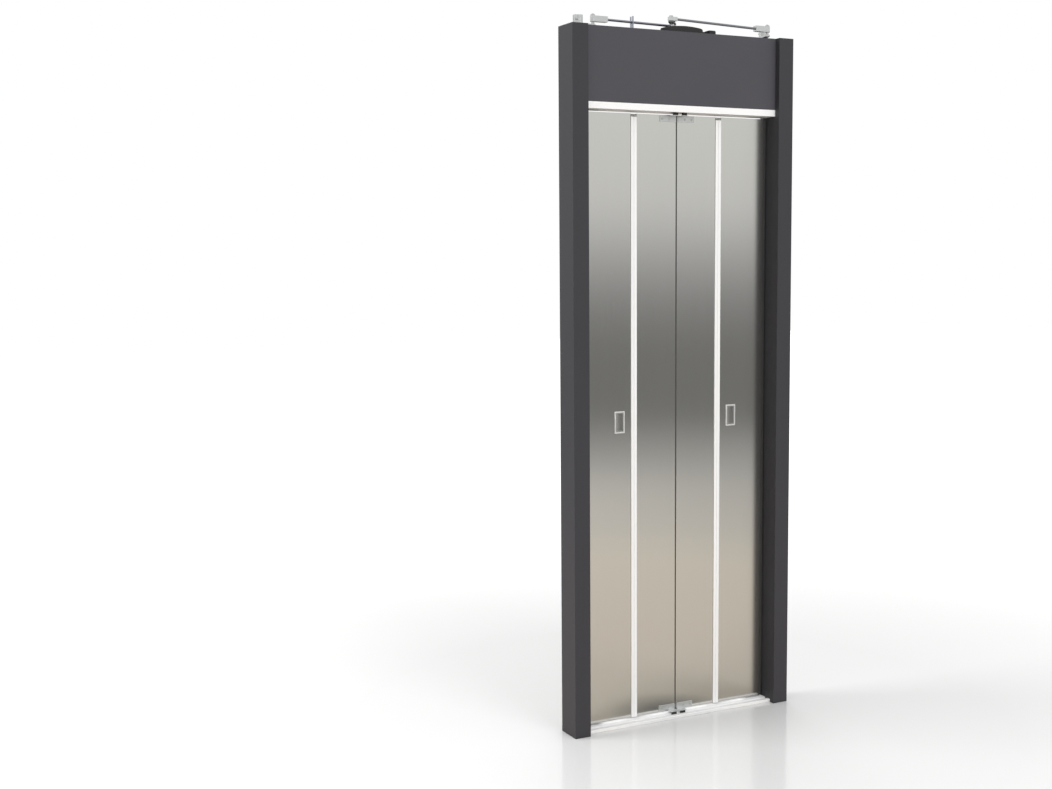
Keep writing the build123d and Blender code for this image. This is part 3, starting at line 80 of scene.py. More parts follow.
class Bench:
    """Modelling moves on one piece at a time, as by hand.

    A face points a given way when the cosine between its normal and that way is over SAME_WAY.
    """

    SAME_WAY: ClassVar[float] = 0.9
    SHARP_EDGE: ClassVar[float] = math.radians(40)
    SMOOTH_EDGE: ClassVar[float] = math.radians(35)
    EDGE_STEPS: ClassVar[int] = 2

    @staticmethod
    def clear() -> None:
        """Leaves edit mode and selects nothing."""
        if bpy.context.object is not None and bpy.context.object.mode != "OBJECT":
            bpy.ops.object.mode_set(mode="OBJECT")
        bpy.ops.object.select_all(action="DESELECT")

    @staticmethod
    def pick(piece: bpy.types.Object) -> None:
        """Selects one piece alone and makes it active."""
        Bench.clear()
        piece.select_set(True)
        bpy.context.view_layer.objects.active = piece

    @staticmethod
    def settle(piece: bpy.types.Object, name: str) -> bpy.types.Object:
        """Names a piece and puts its place, turn and size into its mesh.

        Args:
            piece: The new object.
            name: Its name from now on.

        Returns:
            The same object, at the origin, unturned and unscaled.
        """
        Bench.pick(piece)
        bpy.ops.object.transform_apply(location=True, rotation=True, scale=True)
        piece.name = name
        piece.data.name = name
        return piece

    @staticmethod
    def block(name: str, low: Point, high: Point) -> bpy.types.Object:
        """Adds a box between two corners.

        Args:
            name: Its name.
            low: The lowest corner.
            high: The highest corner.

        Returns:
            The new object.
        """
        Bench.clear()
        centre = [(a + b) / 2 for a, b in zip(low, high)]
        bpy.ops.mesh.primitive_cube_add(size=1, location=centre)
        piece = bpy.context.object
        piece.scale = [b - a for a, b in zip(low, high)]
        return Bench.settle(piece, name)

    @staticmethod
    def rod(
        name: str, foot: Sequence[float], facing: Facing, radius: float, length: float, sides: int
    ) -> bpy.types.Object:
        """Adds a round bar from a foot point.

        Args:
            name: Its name.
            foot: The middle of its near end.
            facing: Which way it points.
            radius: Its radius.
            length: Its length.
            sides: How many flats its mesh has.

        Returns:
            The new object.
        """
        Bench.clear()
        way = facing.vector()
        centre = Vector(foot) + way * (length / 2)
        turn = way.to_track_quat("Z", "Y").to_euler()
        bpy.ops.mesh.primitive_cylinder_add(
            vertices=sides, radius=radius, depth=length, location=centre, rotation=turn
        )
        return Bench.settle(bpy.context.object, name)

    @staticmethod
    def select_faces(piece: bpy.types.Object, facing: Facing, opposite: bool = False) -> None:
        """Enters edit mode with the faces that point one way selected.

        Args:
            piece: The piece to edit.
            facing: Which way the faces point.
            opposite: Whether the faces that point the other way are selected too.
        """
        Bench.pick(piece)
        bpy.ops.object.mode_set(mode="EDIT")
        bpy.ops.mesh.select_mode(type="FACE")
        bpy.ops.mesh.select_all(action="DESELECT")
        mesh = bmesh.from_edit_mesh(piece.data)
        for face in mesh.faces:
            along = face.normal.dot(facing.vector())
            face.select_set((abs(along) if opposite else along) > Bench.SAME_WAY)
        bmesh.update_edit_mesh(piece.data)

    @staticmethod
    def work_face(piece: bpy.types.Object, facing: Facing, steps: Steps) -> None:
        """Insets the faces that point one way, step after step.

        Args:
            piece: The piece.
            facing: Which way the faces point.
            steps: The width of each inset, and how far what is left rises with it.
        """
        Bench.select_faces(piece, facing)
        for width, rise in steps:
            bpy.ops.mesh.inset(thickness=width, depth=rise, use_even_offset=True)
        bpy.ops.object.mode_set(mode="OBJECT")

    @staticmethod
    def hollow(piece: bpy.types.Object, facing: Facing, wall: float) -> None:
        """Opens a block from one side to the other, so that a frame is left.

        Args:
            piece: The block.
            facing: The way that one of its open sides faces.
            wall: The width of the frame.
        """
        Bench.select_faces(piece, facing, opposite=True)
        bpy.ops.mesh.inset(thickness=wall, use_even_offset=True)
        bpy.ops.mesh.bridge_edge_loops()
        bpy.ops.mesh.select_all(action="SELECT")
        bpy.ops.mesh.normals_make_consistent(inside=False)
        bpy.ops.object.mode_set(mode="OBJECT")

    @staticmethod
    def ease_edges(piece: bpy.types.Object, width: float) -> None:
        """Rounds a piece's sharp edges with an applied bevel.

        Args:
            piece: The piece.
            width: The width of the rounding.
        """
        Bench.pick(piece)
        bevel = piece.modifiers.new("eased_edges", "BEVEL")
        bevel.width = width
        bevel.segments = Bench.EDGE_STEPS
        bevel.limit_method = "ANGLE"
        bevel.angle_limit = Bench.SHARP_EDGE
        bpy.ops.object.modifier_apply(modifier=bevel.name)
        bpy.ops.object.shade_smooth_by_angle(angle=Bench.SMOOTH_EDGE)

    @staticmethod
    def join(name: str, pieces: Sequence[bpy.types.Object]) -> bpy.types.Object:
        """Makes several meshes one piece.

        Args:
            name: The name of the whole.
            pieces: What it is made of.

        Returns:
            The whole.
        """
        Bench.pick(pieces[0])
        for piece in pieces:
            piece.select_set(True)
        if len(pieces) > 1:
            bpy.ops.object.join()
        pieces[0].name = name
        pieces[0].data.name = name
        return pieces[0]

    @staticmethod
    def repeat(piece: bpy.types.Object, shifts: Iterable[Sequence[float]]) -> bpy.types.Object:
        """Copies a piece, each copy with a mesh of its own, and joins them all.

        Args:
            piece: The first one.
            shifts: How far each copy lies from it.

        Returns:
            One piece that keeps the name of the first.
        """
        name = piece.name
        made = [piece]
        for number, shift in enumerate(shifts, 2):
            twin = piece.copy()
            twin.data = piece.data.copy()
            twin.name = twin.data.name = f"{name}_{number}"
            twin.data.transform(Matrix.Translation(Vector(shift)))
            bpy.context.scene.collection.objects.link(twin)
            made.append(twin)
        return Bench.join(name, made)


def mount(
    piece: bpy.types.Object, finish: "Finish", covers: Sequence[str] = ()
) -> None:
    """Gives a new piece its finish and fixes it to the door.

    Args:
        piece: The new piece.
        finish: What it is made of.
        covers: CAD nodes that it stands for.
    """
    piece.data.materials.clear()
    piece.data.materials.append(finish.material())
    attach(piece, "root")
    if covers:
        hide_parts(*covers)
    log.info("piece %s: %d faces, %s", piece.name, len(piece.data.polygons), finish.name)


# --- Nodes, and the effects that several finishes share ---


class Network:
    """Adds nodes to one node tree, with their values and links."""

    RAMP_MIDDLE: ClassVar[float] = 0.5

    def __init__(self, tree: bpy.types.NodeTree) -> None:
        """Takes the tree that the nodes go into."""
        self.tree = tree

    def feed(self, node: bpy.types.Node, inputs: Inputs) -> None:
        """Sets or links a node's inputs.

        Args:
            node: The node.
            inputs: For each input a number, a colour, or the output that feeds it.
        """
        for label, value in inputs.items():
            socket = node.inputs[label]
            if isinstance(value, bpy.types.NodeSocket):
                self.tree.links.new(value, socket)
            elif socket.type == "RGBA":
                socket.default_value = (*value, 1.0)
            else:
                socket.default_value = value

    def add(
        self, kind: str, inputs: Optional[Inputs] = None, **choices: object
    ) -> bpy.types.Node:
        """Adds a node.

        Args:
            kind: Its type, without the words ShaderNode.
            inputs: What goes into it.
            **choices: Its own choices, such as its operation.

        Returns:
            The new node.
        """
        node = self.tree.nodes.new(f"ShaderNode{kind}")
        for label, choice in choices.items():
            setattr(node, label, choice)
        self.feed(node, inputs or {})
        return node

    def place(self) -> bpy.types.NodeSocket:
        """The place on the object."""
        return self.add("TexCoord").outputs["Object"]

    def maths(self, operation: str, *values: Value) -> bpy.types.NodeSocket:
        """One number worked out from others."""
        return self.add("Math", dict(enumerate(values)), operation=operation).outputs[0]

    def mix(self, share: Value, first: Value, second: Value) -> bpy.types.NodeSocket:
        """The first colour, with a share of the second."""
        inputs = {"Factor": share, "A": first, "B": second}
        return self.add("Mix", inputs, data_type="RGBA").outputs["Result"]

    def ramp(self, share: Value, stops: Stops) -> bpy.types.NodeSocket:
        """A run of colours.

        Args:
            share: Where on the run the colour is taken, from 0 to 1.
            stops: Places on the run and their colours.

        Returns:
            The colour at that place.
        """
        made = self.add("ValToRGB", {"Fac": share})
        points = made.color_ramp.elements
        while len(points) < len(stops):
            points.new(self.RAMP_MIDDLE)
        for point, (at, colour) in zip(points, stops):
            point.position = at
            point.color = (*colour, 1.0)
        return made.outputs["Color"]


@dataclass(frozen=True)
class Effect:
    """A node group of a fine and a slow noise, which several finishes share.

    The fine noise gives the height, the slow one a patch, and both together sway the roughness.
    """

    name: str
    fine_detail: float
    slow_scale: float
    slow_detail: float

    def tree(self) -> bpy.types.NodeTree:
        """The node group, built on its first use."""
        known = bpy.data.node_groups.get(self.name)
        return known if known is not None else self.build()

    def build(self) -> bpy.types.NodeTree:
        """Builds the node group.

        Returns:
            A group that takes Place Vector, Scale, Roughness and Spread, and puts out Height,
            Patch and Roughness.
        """
        tree = bpy.data.node_groups.new(self.name, "ShaderNodeTree")
        sockets = [("Place Vector", "INPUT", "NodeSocketVector")]
        for way, labels in (
            ("INPUT", ("Scale", "Roughness", "Spread")),
            ("OUTPUT", ("Height", "Patch", "Roughness")),
        ):
            sockets += [(label, way, "NodeSocketFloat") for label in labels]
        for label, way, kind in sockets:
            tree.interface.new_socket(name=label, in_out=way, socket_type=kind)
        net = Network(tree)
        given = tree.nodes.new("NodeGroupInput").outputs
        fine, slow = (
            net.add("TexNoise", {"Vector": given["Place Vector"], "Scale": scale, "Detail": detail})
            for scale, detail in (
                (given["Scale"], self.fine_detail),
                (self.slow_scale, self.slow_detail),
            )
        )
        height, patch = fine.outputs["Fac"], slow.outputs["Fac"]
        # Each noise lies round 0.5, so their sum less 1 lies round 0.
        sway = net.maths("SUBTRACT", net.maths("ADD", height, patch), 1.0)
        rough = net.maths("MULTIPLY_ADD", sway, given["Spread"], given["Roughness"])
        end = tree.nodes.new("NodeGroupOutput")
        net.feed(end, {"Height": height, "Patch": patch, "Roughness": rough})
        return tree


BRUSH_LINES = Effect("brushed_grain", fine_detail=3.0, slow_scale=0.03, slow_detail=2.0)
SPECKLE = Effect("speckle", fine_detail=2.0, slow_scale=7.0, slow_detail=5.0)


# --- Finishes ---


class Grain(Enum):
    """Which way the lines of a brushed surface run, as noise scales on X, Y and Z."""

    UPRIGHT = (1100.0, 1100.0, 7.0)
    ALONG = (7.0, 1100.0, 1100.0)
    SATIN = (500.0, 500.0, 500.0)
    LAMINATED = (30.0, 1500.0, 30.0)


@dataclass(frozen=True)
class Finish:
    """A surface with the close grain of powder coat, moulding, rubber or casting.

    The numbers are what a maker would write on a finish card. Heights are in metres.
    """

    name: str
    colour: Colour
    roughness: float = 0.5
    metallic: float = 0.0
    grain_scale: float = 900.0
    grain_height: float = 0.00004
    patch_shade: float = 0.06
    spread: float = 0.1
    coat: float = 0.0
    gloss: float = 0.5

    def material(self) -> bpy.types.Material:
        """The Blender material of this finish, built on its first use."""
        known = bpy.data.materials.get(self.name)
        return known if known is not None else self.build()

    def start(self) -> tuple[bpy.types.Material, Network, bpy.types.Node]:
        """Starts the material with what is the same all over.

        Returns:
            The material, its network and its shader node.
        """
        made = bpy.data.materials.new(self.name)
        made.use_nodes = True
        made.diffuse_color = (*self.colour, 1.0)
        net = Network(made.node_tree)
        shader = made.node_tree.nodes["Principled BSDF"]
        even = {
            "Base Color": self.colour,
            "Roughness": self.roughness,
            "Metallic": self.metallic,
            "Coat Weight": self.coat,
            "Specular IOR Level": self.gloss,
        }
        net.feed(shader, even)
        return made, net, shader

    def vary(
        self, net: Network, shader: bpy.types.Node, effect: Effect, inputs: Inputs, mask: str
    ) -> None:
        """Lets an effect change the shade, the roughness and the height over the surface.

        Args:
            net: The material's network.
            shader: Its shader node.
            effect: The effect.
            inputs: The place and the scale that the effect takes.
            mask: Which of its outputs lightens and darkens the colour.
        """
        inputs = {**inputs, "Roughness": self.roughness, "Spread": self.spread}
        grain = net.add("Group", inputs, node_tree=effect.tree()).outputs
        dark = tuple(max(0.0, c * (1 - self.patch_shade)) for c in self.colour)
        light = tuple(min(1.0, c * (1 + self.patch_shade)) for c in self.colour)
        bump = net.add(
            "Bump", {"Strength": 1.0, "Distance": self.grain_height, "Height": grain["Height"]}
        )
        varied = {
            "Base Color": net.mix(grain[mask], dark, light),
            "Roughness": grain["Roughness"],
            "Normal": bump.outputs["Normal"],
        }
        net.feed(shader, varied)

    def build(self) -> bpy.types.Material:
        """Builds the material."""
        made, net, shader = self.start()
        inputs = {"Place Vector": net.place(), "Scale": self.grain_scale}
        self.vary(net, shader, SPECKLE, inputs, "Patch")
        return made


@dataclass(frozen=True)
class BrushedFinish(Finish):
    """A metal surface with parallel brush lines."""

    grain_height: float = 0.00001
    grain: Grain = Grain.UPRIGHT
    anisotropy: float = 0.0

    def build(self) -> bpy.types.Material:
        """Builds the material."""
        made, net, shader = self.start()
        drawn = net.add("Mapping", {"Vector": net.place(), "Scale": self.grain.value})
        inputs = {"Place Vector": drawn.outputs["Vector"], "Scale": 1.0}
        self.vary(net, shader, BRUSH_LINES, inputs, "Height")
        if self.anisotropy > 0:
            tangent = net.add("Tangent", direction_type="RADIAL", axis="Z").outputs["Tangent"]
            net.feed(shader, {"Anisotropic": self.anisotropy, "Tangent": tangent})
        return made


@dataclass(frozen=True)
class BoardFinish(Finish):
    """Lacquered circuit board with its tracks and solder points."""

    track: Colour = (0.10, 0.40, 0.31)
    track_scale: float = 190.0
    track_width: float = 0.07
    solder: Colour = (0.60, 0.64, 0.60)
    solder_scale: float = 240.0
    solder_width: float = 0.2

    def build(self) -> bpy.types.Material:
        """Builds the material."""
        made, net, shader = self.start()
        place = net.place()
        shade: Value = self.colour
        for feature, scale, width, colour in (
            ("DISTANCE_TO_EDGE", self.track_scale, self.track_width, self.track),
            ("F1", self.solder_scale, self.solder_width, self.solder),
        ):
            cells = net.add("TexVoronoi", {"Vector": place, "Scale": scale}, feature=feature)
            mask = net.maths("LESS_THAN", cells.outputs["Distance"], width)
            shade = net.mix(mask, shade, colour)
        net.feed(shader, {"Base Color": shade})
        return made


FRAME_PAINT = Finish(
    "frame_paint_finish", (0.049, 0.048, 0.055), 0.48,
    grain_scale=1400, grain_height=0.00003, gloss=0.3,
)
# The frame's dark paint made lighter: the extra lightness is a painted sheen for the header.
HEADER_PAINT_WITH_SHEEN = Finish(
    "header_painted_sheen_finish", (0.077, 0.075, 0.086), 0.48,
    grain_scale=1400, grain_height=0.00003, gloss=0.35,
)
RAIL_METAL = BrushedFinish(
    "rail_finish", (0.97, 0.97, 0.97), 0.45, grain=Grain.ALONG, spread=0.08, patch_shade=0.02
)
HINGE_METAL = BrushedFinish(
    "hinge_finish", (0.96, 0.96, 0.96), 0.45, spread=0.08, patch_shade=0.02
)
LEAF_STEEL = BrushedFinish(
    "leaf_finish", (0.80, 0.79, 0.76), 0.15, 1.0, spread=0.05, patch_shade=0.05, anisotropy=0.9
)
HANDLE_STEEL = BrushedFinish(
    "handle_finish", (0.62, 0.62, 0.61), 0.32, 1.0, grain_height=0.00004
)
SHAFT_STEEL = BrushedFinish("shaft_finish", (0.70, 0.70, 0.71), 0.25, 1.0, grain=Grain.SATIN)
ROD_STEEL = BrushedFinish("rod_finish", (0.34, 0.35, 0.39), 0.3, 1.0, grain=Grain.ALONG)
POST_STEEL = BrushedFinish("post_finish", (0.42, 0.44, 0.50), 0.36, 0.7)
SEAL_RUBBER = Finish("seal_finish", (0.07, 0.068, 0.066), 0.5, grain_scale=500)
ZINC = BrushedFinish(
    "zinc_finish", (0.80, 0.82, 0.82), 0.36, 0.85, grain=Grain.SATIN, grain_height=0.00002
)
DARK_PAINT = Finish("dark_bracket_finish", (0.10, 0.10, 0.11), 0.4)
BLACK_MOULDING = Finish("black_moulding_finish", (0.018, 0.018, 0.019), 0.42, grain_scale=700)
BLACK_RUBBER = Finish("black_rubber_finish", (0.012, 0.012, 0.012), 0.62, grain_scale=500)
MOTOR_METAL = BrushedFinish(
    "motor_finish", (0.78, 0.78, 0.78), 0.3, 0.9, grain=Grain.ALONG, grain_height=0.00004
)
CASTING = Finish(
    "casting_finish", (0.42, 0.41, 0.37), 0.45, 0.8, grain_scale=500, grain_height=0.0002
)
BOARD_GREEN = BoardFinish("board_finish", (0.015, 0.15, 0.10), 0.3, coat=0.3)
CORE_LACQUER = BrushedFinish(
    "core_finish", (0.02, 0.02, 0.02), 0.38, 0.2,
    grain=Grain.LAMINATED, grain_height=0.0003, coat=0.2,
)
WINDING_TAPE = BrushedFinish(
    "winding_finish", (0.80, 0.24, 0.06), 0.3,
    grain=Grain.LAMINATED, grain_height=0.0004, patch_shade=0.3, coat=0.5,
)
RIM_METAL = BrushedFinish("pull_rim_finish", (0.88, 0.88, 0.88), 0.3, 0.6, grain_height=0.000005)
STRIP_METAL = BrushedFinish(
    "end_strip_finish", (0.74, 0.74, 0.78), 0.35, 0.5, grain_height=0.000005
)
SCREW_STEEL = BrushedFinish("screw_finish", (0.74, 0.74, 0.75), 0.3, 1.0, grain=Grain.SATIN)
DARK_SCREW = Finish("dark_screw_finish", (0.05, 0.05, 0.055), 0.35, 0.5)
RIVET_METAL = Finish("rivet_finish", (0.20, 0.20, 0.21), 0.38, 0.6)
WHITE_MOULDING = Finish("white_moulding_finish", (0.80, 0.80, 0.79), 0.4)
GREY_MOULDING = Finish("grey_moulding_finish", (0.34, 0.35, 0.34), 0.45)
BLUE_MOULDING = Finish("blue_moulding_finish", (0.015, 0.11, 0.24), 0.4)
NAVY_MOULDING = Finish("navy_moulding_finish", (0.012, 0.018, 0.06), 0.38)
DARK_MOULDING = Finish("dark_moulding_finish", (0.012, 0.014, 0.026), 0.38)
RED_MOULDING = Finish("red_moulding_finish", (0.66, 0.07, 0.02), 0.4)
GREEN_MOULDING = Finish("green_moulding_finish", (0.10, 0.34, 0.10), 0.4)
ORANGE_MOULDING = Finish("orange_moulding_finish", (0.68, 0.20, 0.05), 0.4)
TIN = BrushedFinish(
    "tin_finish", (0.72, 0.74, 0.72), 0.34, 1.0, grain=Grain.SATIN, grain_height=0.00002
)
PLATE_WHITE = Finish(
    "blank_plate_finish", (0.80, 0.80, 0.80), 0.36, 0.2, grain_scale=300, grain_height=0.00001
)
RED_WIRE = Finish("red_wire_finish", (0.22, 0.02, 0.02), 0.45)
BLUE_WIRE = Finish("blue_wire_finish", (0.02, 0.05, 0.20), 0.45)
GREEN_WIRE = Finish("green_wire_finish", (0.04, 0.16, 0.04), 0.45)


# --- Kinds of pieces ---


@dataclass(frozen=True)
class Box:
    """A square blank between two corners."""

    low: Point
    high: Point

    def cut(self, name: str, facing: Facing) -> bpy.types.Object:
        """The blank as a new object, the same whichever way its worked face points."""
        return Bench.block(name, self.low, self.high)


@dataclass(frozen=True)
class Bar:
    """A round blank that stands on its foot."""

    foot: Point
    radius: float
    length: float
    sides: int = 24

    def cut(self, name: str, facing: Facing) -> bpy.types.Object:
        """The blank as a new object that points the way of its worked face."""
        return Bench.rod(name, self.foot, facing, self.radius, self.length, self.sides)


@dataclass(frozen=True)
class Part:
    """A blank with one worked face, and its copies, as one piece."""

    name: str
    finish: Finish
    slot: str
    blank: Union[Box, Bar]
    steps: Steps
    face: Facing = Facing.CABIN
    edge: float = 0.0
    shifts: tuple[Point, ...] = ()
    covers: tuple[str, ...] = ()

    def build(self) -> None:
        """Models the first one, repeats it and mounts them."""
        first = self.blank.cut(self.name, self.face)
        Bench.work_face(first, self.face, self.steps)
        if self.edge > 0:
            Bench.ease_edges(first, self.edge)
        mount(Bench.repeat(first, self.shifts), self.finish, self.covers)


SLOPE_PER_RIM = 0.3
EDGE_PER_RIM = 0.35


def moulded(
    name: str, finish: Finish, low: Point, high: Point, *, slot: str = "black_moulding",
    face: Facing = Facing.CABIN, rim: float = 0.0012, sunk: float = 0.0006,
    covers: tuple[str, ...] = (),
) -> Part:
    """A small moulded part: a block with a sunk face and eased edges.

    Args:
        name: Its name.
        finish: What it is made of.
        low: Its lowest corner.
        high: Its highest corner.
        slot: The material slot of the record that it belongs to; not used.
        face: The side that is sunk.
        rim: How wide the edge round the sunk face is.
        sunk: How deep it is sunk.
        covers: CAD nodes that it stands for.

    Returns:
        The part, not built yet.
    """
    steps = ((rim, 0.0), (rim * SLOPE_PER_RIM, -sunk))
    edge = rim * EDGE_PER_RIM
    return Part(name, finish, slot, Box(low, high), steps, face, edge, covers=covers)


class Head(Enum):
    """A kind of fastener head: the flats of its outline, then the steps of its top.

    A step is an inset as a share of the radius, and a rise as a share of the height.
    """

    RIVET = (10, ((0.3, 0.45), (0.3, 0.2)))
    PAN = (16, ((0.18, 0.3), (0.35, 0.0), (0.04, -0.6)))
    HEX = (6, ((0.12, 0.08), (0.3, 0.0), (0.02, 0.5)))


@dataclass(frozen=True)
class FastenerSet:
    """Equal fasteners that belong together, one mesh for all."""

    SUNK: ClassVar[float] = 0.0003
    SMOOTH_EDGE: ClassVar[float] = math.radians(32)

    name: str
    head: Head
    radius: float
    height: float
    places: tuple[Point, ...]
    facing: Facing = Facing.CABIN
    finish: Finish = SCREW_STEEL
    slot: str = "zinc_plate"

    def build(self) -> None:
        """Models the first one, sunk a little into what carries it, and copies it to the rest."""
        flats, shares = self.head.value
        start = Vector(self.places[0])
        foot = start - self.facing.vector() * self.SUNK
        first = Bench.rod(self.name, foot, self.facing, self.radius, self.height, flats)
        steps = [(self.radius * inset, self.height * rise) for inset, rise in shares]
        Bench.work_face(first, self.facing, steps)
        whole = Bench.repeat(first, [Vector(place) - start for place in self.places[1:]])
        Bench.pick(whole)
        bpy.ops.object.shade_smooth_by_angle(angle=self.SMOOTH_EDGE)
        mount(whole, self.finish)


def grid(across: Iterable[float], depth: float, up: Sequence[float]) -> tuple[Point, ...]:
    """Points in columns on an upright face, by their x, the face's y, and their z."""
    return tuple((x, depth, z) for x in across for z in up)


def both_sides(points: tuple[Point, ...]) -> tuple[Point, ...]:
    """The points and their mirror images across the door's middle."""
    return points + tuple((-x, y, z) for x, y, z in points)


@dataclass(frozen=True)
class TerminalRow:
    """A row of equal clamping terminals. Steps are shares of the pitch, the depth or the height."""

    name: str
    finish: Finish
    low: Point
    ways: int
    pitch: float = 0.0056
    height: float = 0.018
    depth: float = 0.014
    covers: tuple[str, ...] = ()
    gap: float = 0.06
    mouth: Steps = ((0.16, 0.0), (0.06, -0.12))
    screw_well: Steps = ((0.2, 0.0), (0.05, -0.15))

    def build(self) -> None:
        """Models one terminal with its wire mouth and screw well, and repeats it along the row."""
        x, y, z = self.low
        gap = self.pitch * self.gap
        high = (x + self.pitch - gap, y + self.depth, z + self.height)
        one = Bench.block(self.name, self.low, high)
        for facing, shares, deep in (
            (Facing.CABIN, self.mouth, self.depth),
            (Facing.UP, self.screw_well, self.height),
        ):
            steps = [(self.pitch * inset, deep * rise) for inset, rise in shares]
            Bench.work_face(one, facing, steps)
        row = Bench.repeat(one, [(number * self.pitch, 0, 0) for number in range(1, self.ways)])
        mount(row, self.finish, self.covers)


@dataclass(frozen=True)
class Wire:
    """A thin insulated wire held at both its ends."""

    ROUNDNESS: ClassVar[int] = 2
    STEPS_PER_POINT: ClassVar[int] = 6
    SMOOTHNESS: ClassVar[int] = 3

    name: str
    finish: Finish
    route: tuple[Point, ...]
    radius: float = 0.0011

    def build(self) -> None:
        """Draws the wire as one smooth line and makes it a mesh."""
        curve = bpy.data.curves.new(self.name, "CURVE")
        curve.dimensions = "3D"
        curve.bevel_depth = self.radius
        curve.bevel_resolution = self.ROUNDNESS
        curve.resolution_u = self.STEPS_PER_POINT
        curve.use_fill_caps = True
        spline = curve.splines.new("NURBS")
        spline.points.add(len(self.route) - 1)
        for point, place in zip(spline.points, self.route):
            point.co = (*place, 1.0)
        spline.order_u = self.SMOOTHNESS
        spline.use_endpoint_u = True
        piece = bpy.data.objects.new(self.name, curve)
        bpy.context.scene.collection.objects.link(piece)
        Bench.pick(piece)
        bpy.ops.object.convert(target="MESH")
        bpy.ops.object.shade_smooth()
        mount(bpy.context.object, self.finish)


# --- The door's sub-assemblies ---


Piece = Union[Part, FastenerSet, TerminalRow, Wire]
FinishTable = tuple[tuple[Finish, tuple[str, ...]], ...]


@dataclass
class Assembly:
    """A sub-assembly: the finishes of its CAD nodes, and the new pieces on it."""

    finishes: FinishTable = ()
    pieces: tuple[Piece, ...] = ()

    def dress(self) -> None:
        """Gives the CAD nodes their finishes."""
        for finish, nodes in self.finishes:
            for name in nodes:
                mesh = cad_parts[name].data
                mesh.materials.clear()
                mesh.materials.append(finish.material())
                log.info("node %s: %s", name, finish.name)

    def build(self) -> None:
        """Builds the new pieces."""
        for piece in self.pieces:
            piece.build()


@dataclass
class DoorFrame(Assembly):
    """Jambs, header box, track and sill, with the bright strips beside the header's opening."""

    finishes: FinishTable = (
        (FRAME_PAINT, ("left_jamb", "right_jamb", "header_sides")),
        (
            HEADER_PAINT_WITH_SHEEN,
            ("header_front_panel", "header_top_plate", "header_bottom_plate", "device_plate"),
        ),
        (RAIL_METAL, ("upper_track", "sill")),
    )
    pieces: tuple[Piece, ...] = (
        Part(
            "header_end_strips", STRIP_METAL, "frame_paint",
            Box((0.3538, 0.0432, 2.0462), (0.3599, 0.0454, 2.2508)),
            steps=((0.0012, -0.0004),), edge=0.0003, shifts=((-0.7137, 0, 0),),
        ),
    )


@dataclass
class Leaves(Assembly):
    """The four leaves with hinges, pulls and small fittings."""

    finishes: FinishTable = (
        (LEAF_STEEL, ("left_outer_leaf", "left_inner_leaf", "right_inner_leaf")),
        (LEAF_STEEL, ("right_outer_leaf", "pivot_posts")),
        (HINGE_METAL, ("outer_hinge_profiles", "inner_hinge_profiles")),
        (HANDLE_STEEL, ("left_pull_handle", "right_pull_handle")),
        (SHAFT_STEEL, ("hinge_pins", "pivot_shafts", "floor_pivots")),
        (ZINC, ("guide_brackets", "guide_backing_plates")),
        (DARK_PAINT, ("pivot_brackets",)),
        (BLACK_MOULDING, ("guide_shoes", "leaf_back_plates")),
        (SEAL_RUBBER, ("meeting_seals",)),
    )
    pieces: tuple[Piece, ...] = (
        Part(
            "hinge_caps", HANDLE_STEEL, "hinge_aluminium",
            Box((0.1524, 0.0150, 1.9938), (0.1621, 0.0352, 2.0030)),
            steps=((0.0012, -0.0006),), face=Facing.UP, edge=0.0006,
            shifts=((0.0105, 0, 0), (-0.3145, 0, 0), (-0.3250, 0, 0)),
        ),
        FastenerSet(
            "hinge_rivets", Head.RIVET, radius=0.0032, height=0.0012,
            places=both_sides(grid((0.1425, 0.1825), 0.036, (
                1.986, 1.941, 1.894, 1.617, 1.344, 1.297, 1.020, 0.744, 0.697, 0.418, 0.135,
                0.086, 0.040,
            ))),
            finish=RIVET_METAL, slot="shaft_steel",
        ),
        FastenerSet(
            "lip_screws", Head.PAN, radius=0.003, height=0.0014,
            places=both_sides(grid((0.0085,), 0.034, (1.950, 1.340, 0.708, 0.095))),
            finish=DARK_SCREW, slot="shaft_steel",
        ),
        FastenerSet(
            "back_plate_screws", Head.PAN, radius=0.0032, height=0.0016,
            places=grid((0.296, -0.246), 0.022, (1.985, 1.953)),
        ),
        FastenerSet(
            "backing_screws", Head.HEX, radius=0.0042, height=0.0026,
            places=both_sides(grid((0.018, 0.054), 0.018, (1.994, 0.026))),
        ),
        FastenerSet(
            "guide_screws", Head.PAN, radius=0.0036, height=0.0018, facing=Facing.LANDING,
            places=both_sides(grid((0.030, 0.056), 0.0125, (1.991, 0.029))),
        ),
    )
    rim_width: float = 0.0046
    rim_overhang: float = 0.0004
    rim_front: float = -0.0005
    rim_back: float = 0.0011
    rim_edge: float = 0.0005

    def pull_rims(self) -> None:
        """Models the bright lips round the mouths of both recessed pulls."""
        rims = []
        over = self.rim_overhang
        for name in ("left_pull_handle", "right_pull_handle"):
            low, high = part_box(name)
            rim = Bench.block(
                name.replace("handle", "rim"),
                (low[0] - over, low[1] + self.rim_front, low[2] - over),
                (high[0] + over, low[1] + self.rim_back, high[2] + over),
            )
            Bench.hollow(rim, Facing.LANDING, self.rim_width)
            Bench.ease_edges(rim, self.rim_edge)
            rims.append(rim)
        mount(Bench.join("pull_rims", rims), RIM_METAL)

    def build(self) -> None:
        """Builds the pulls' lips and the other new pieces."""
        self.pull_rims()
        super().build()


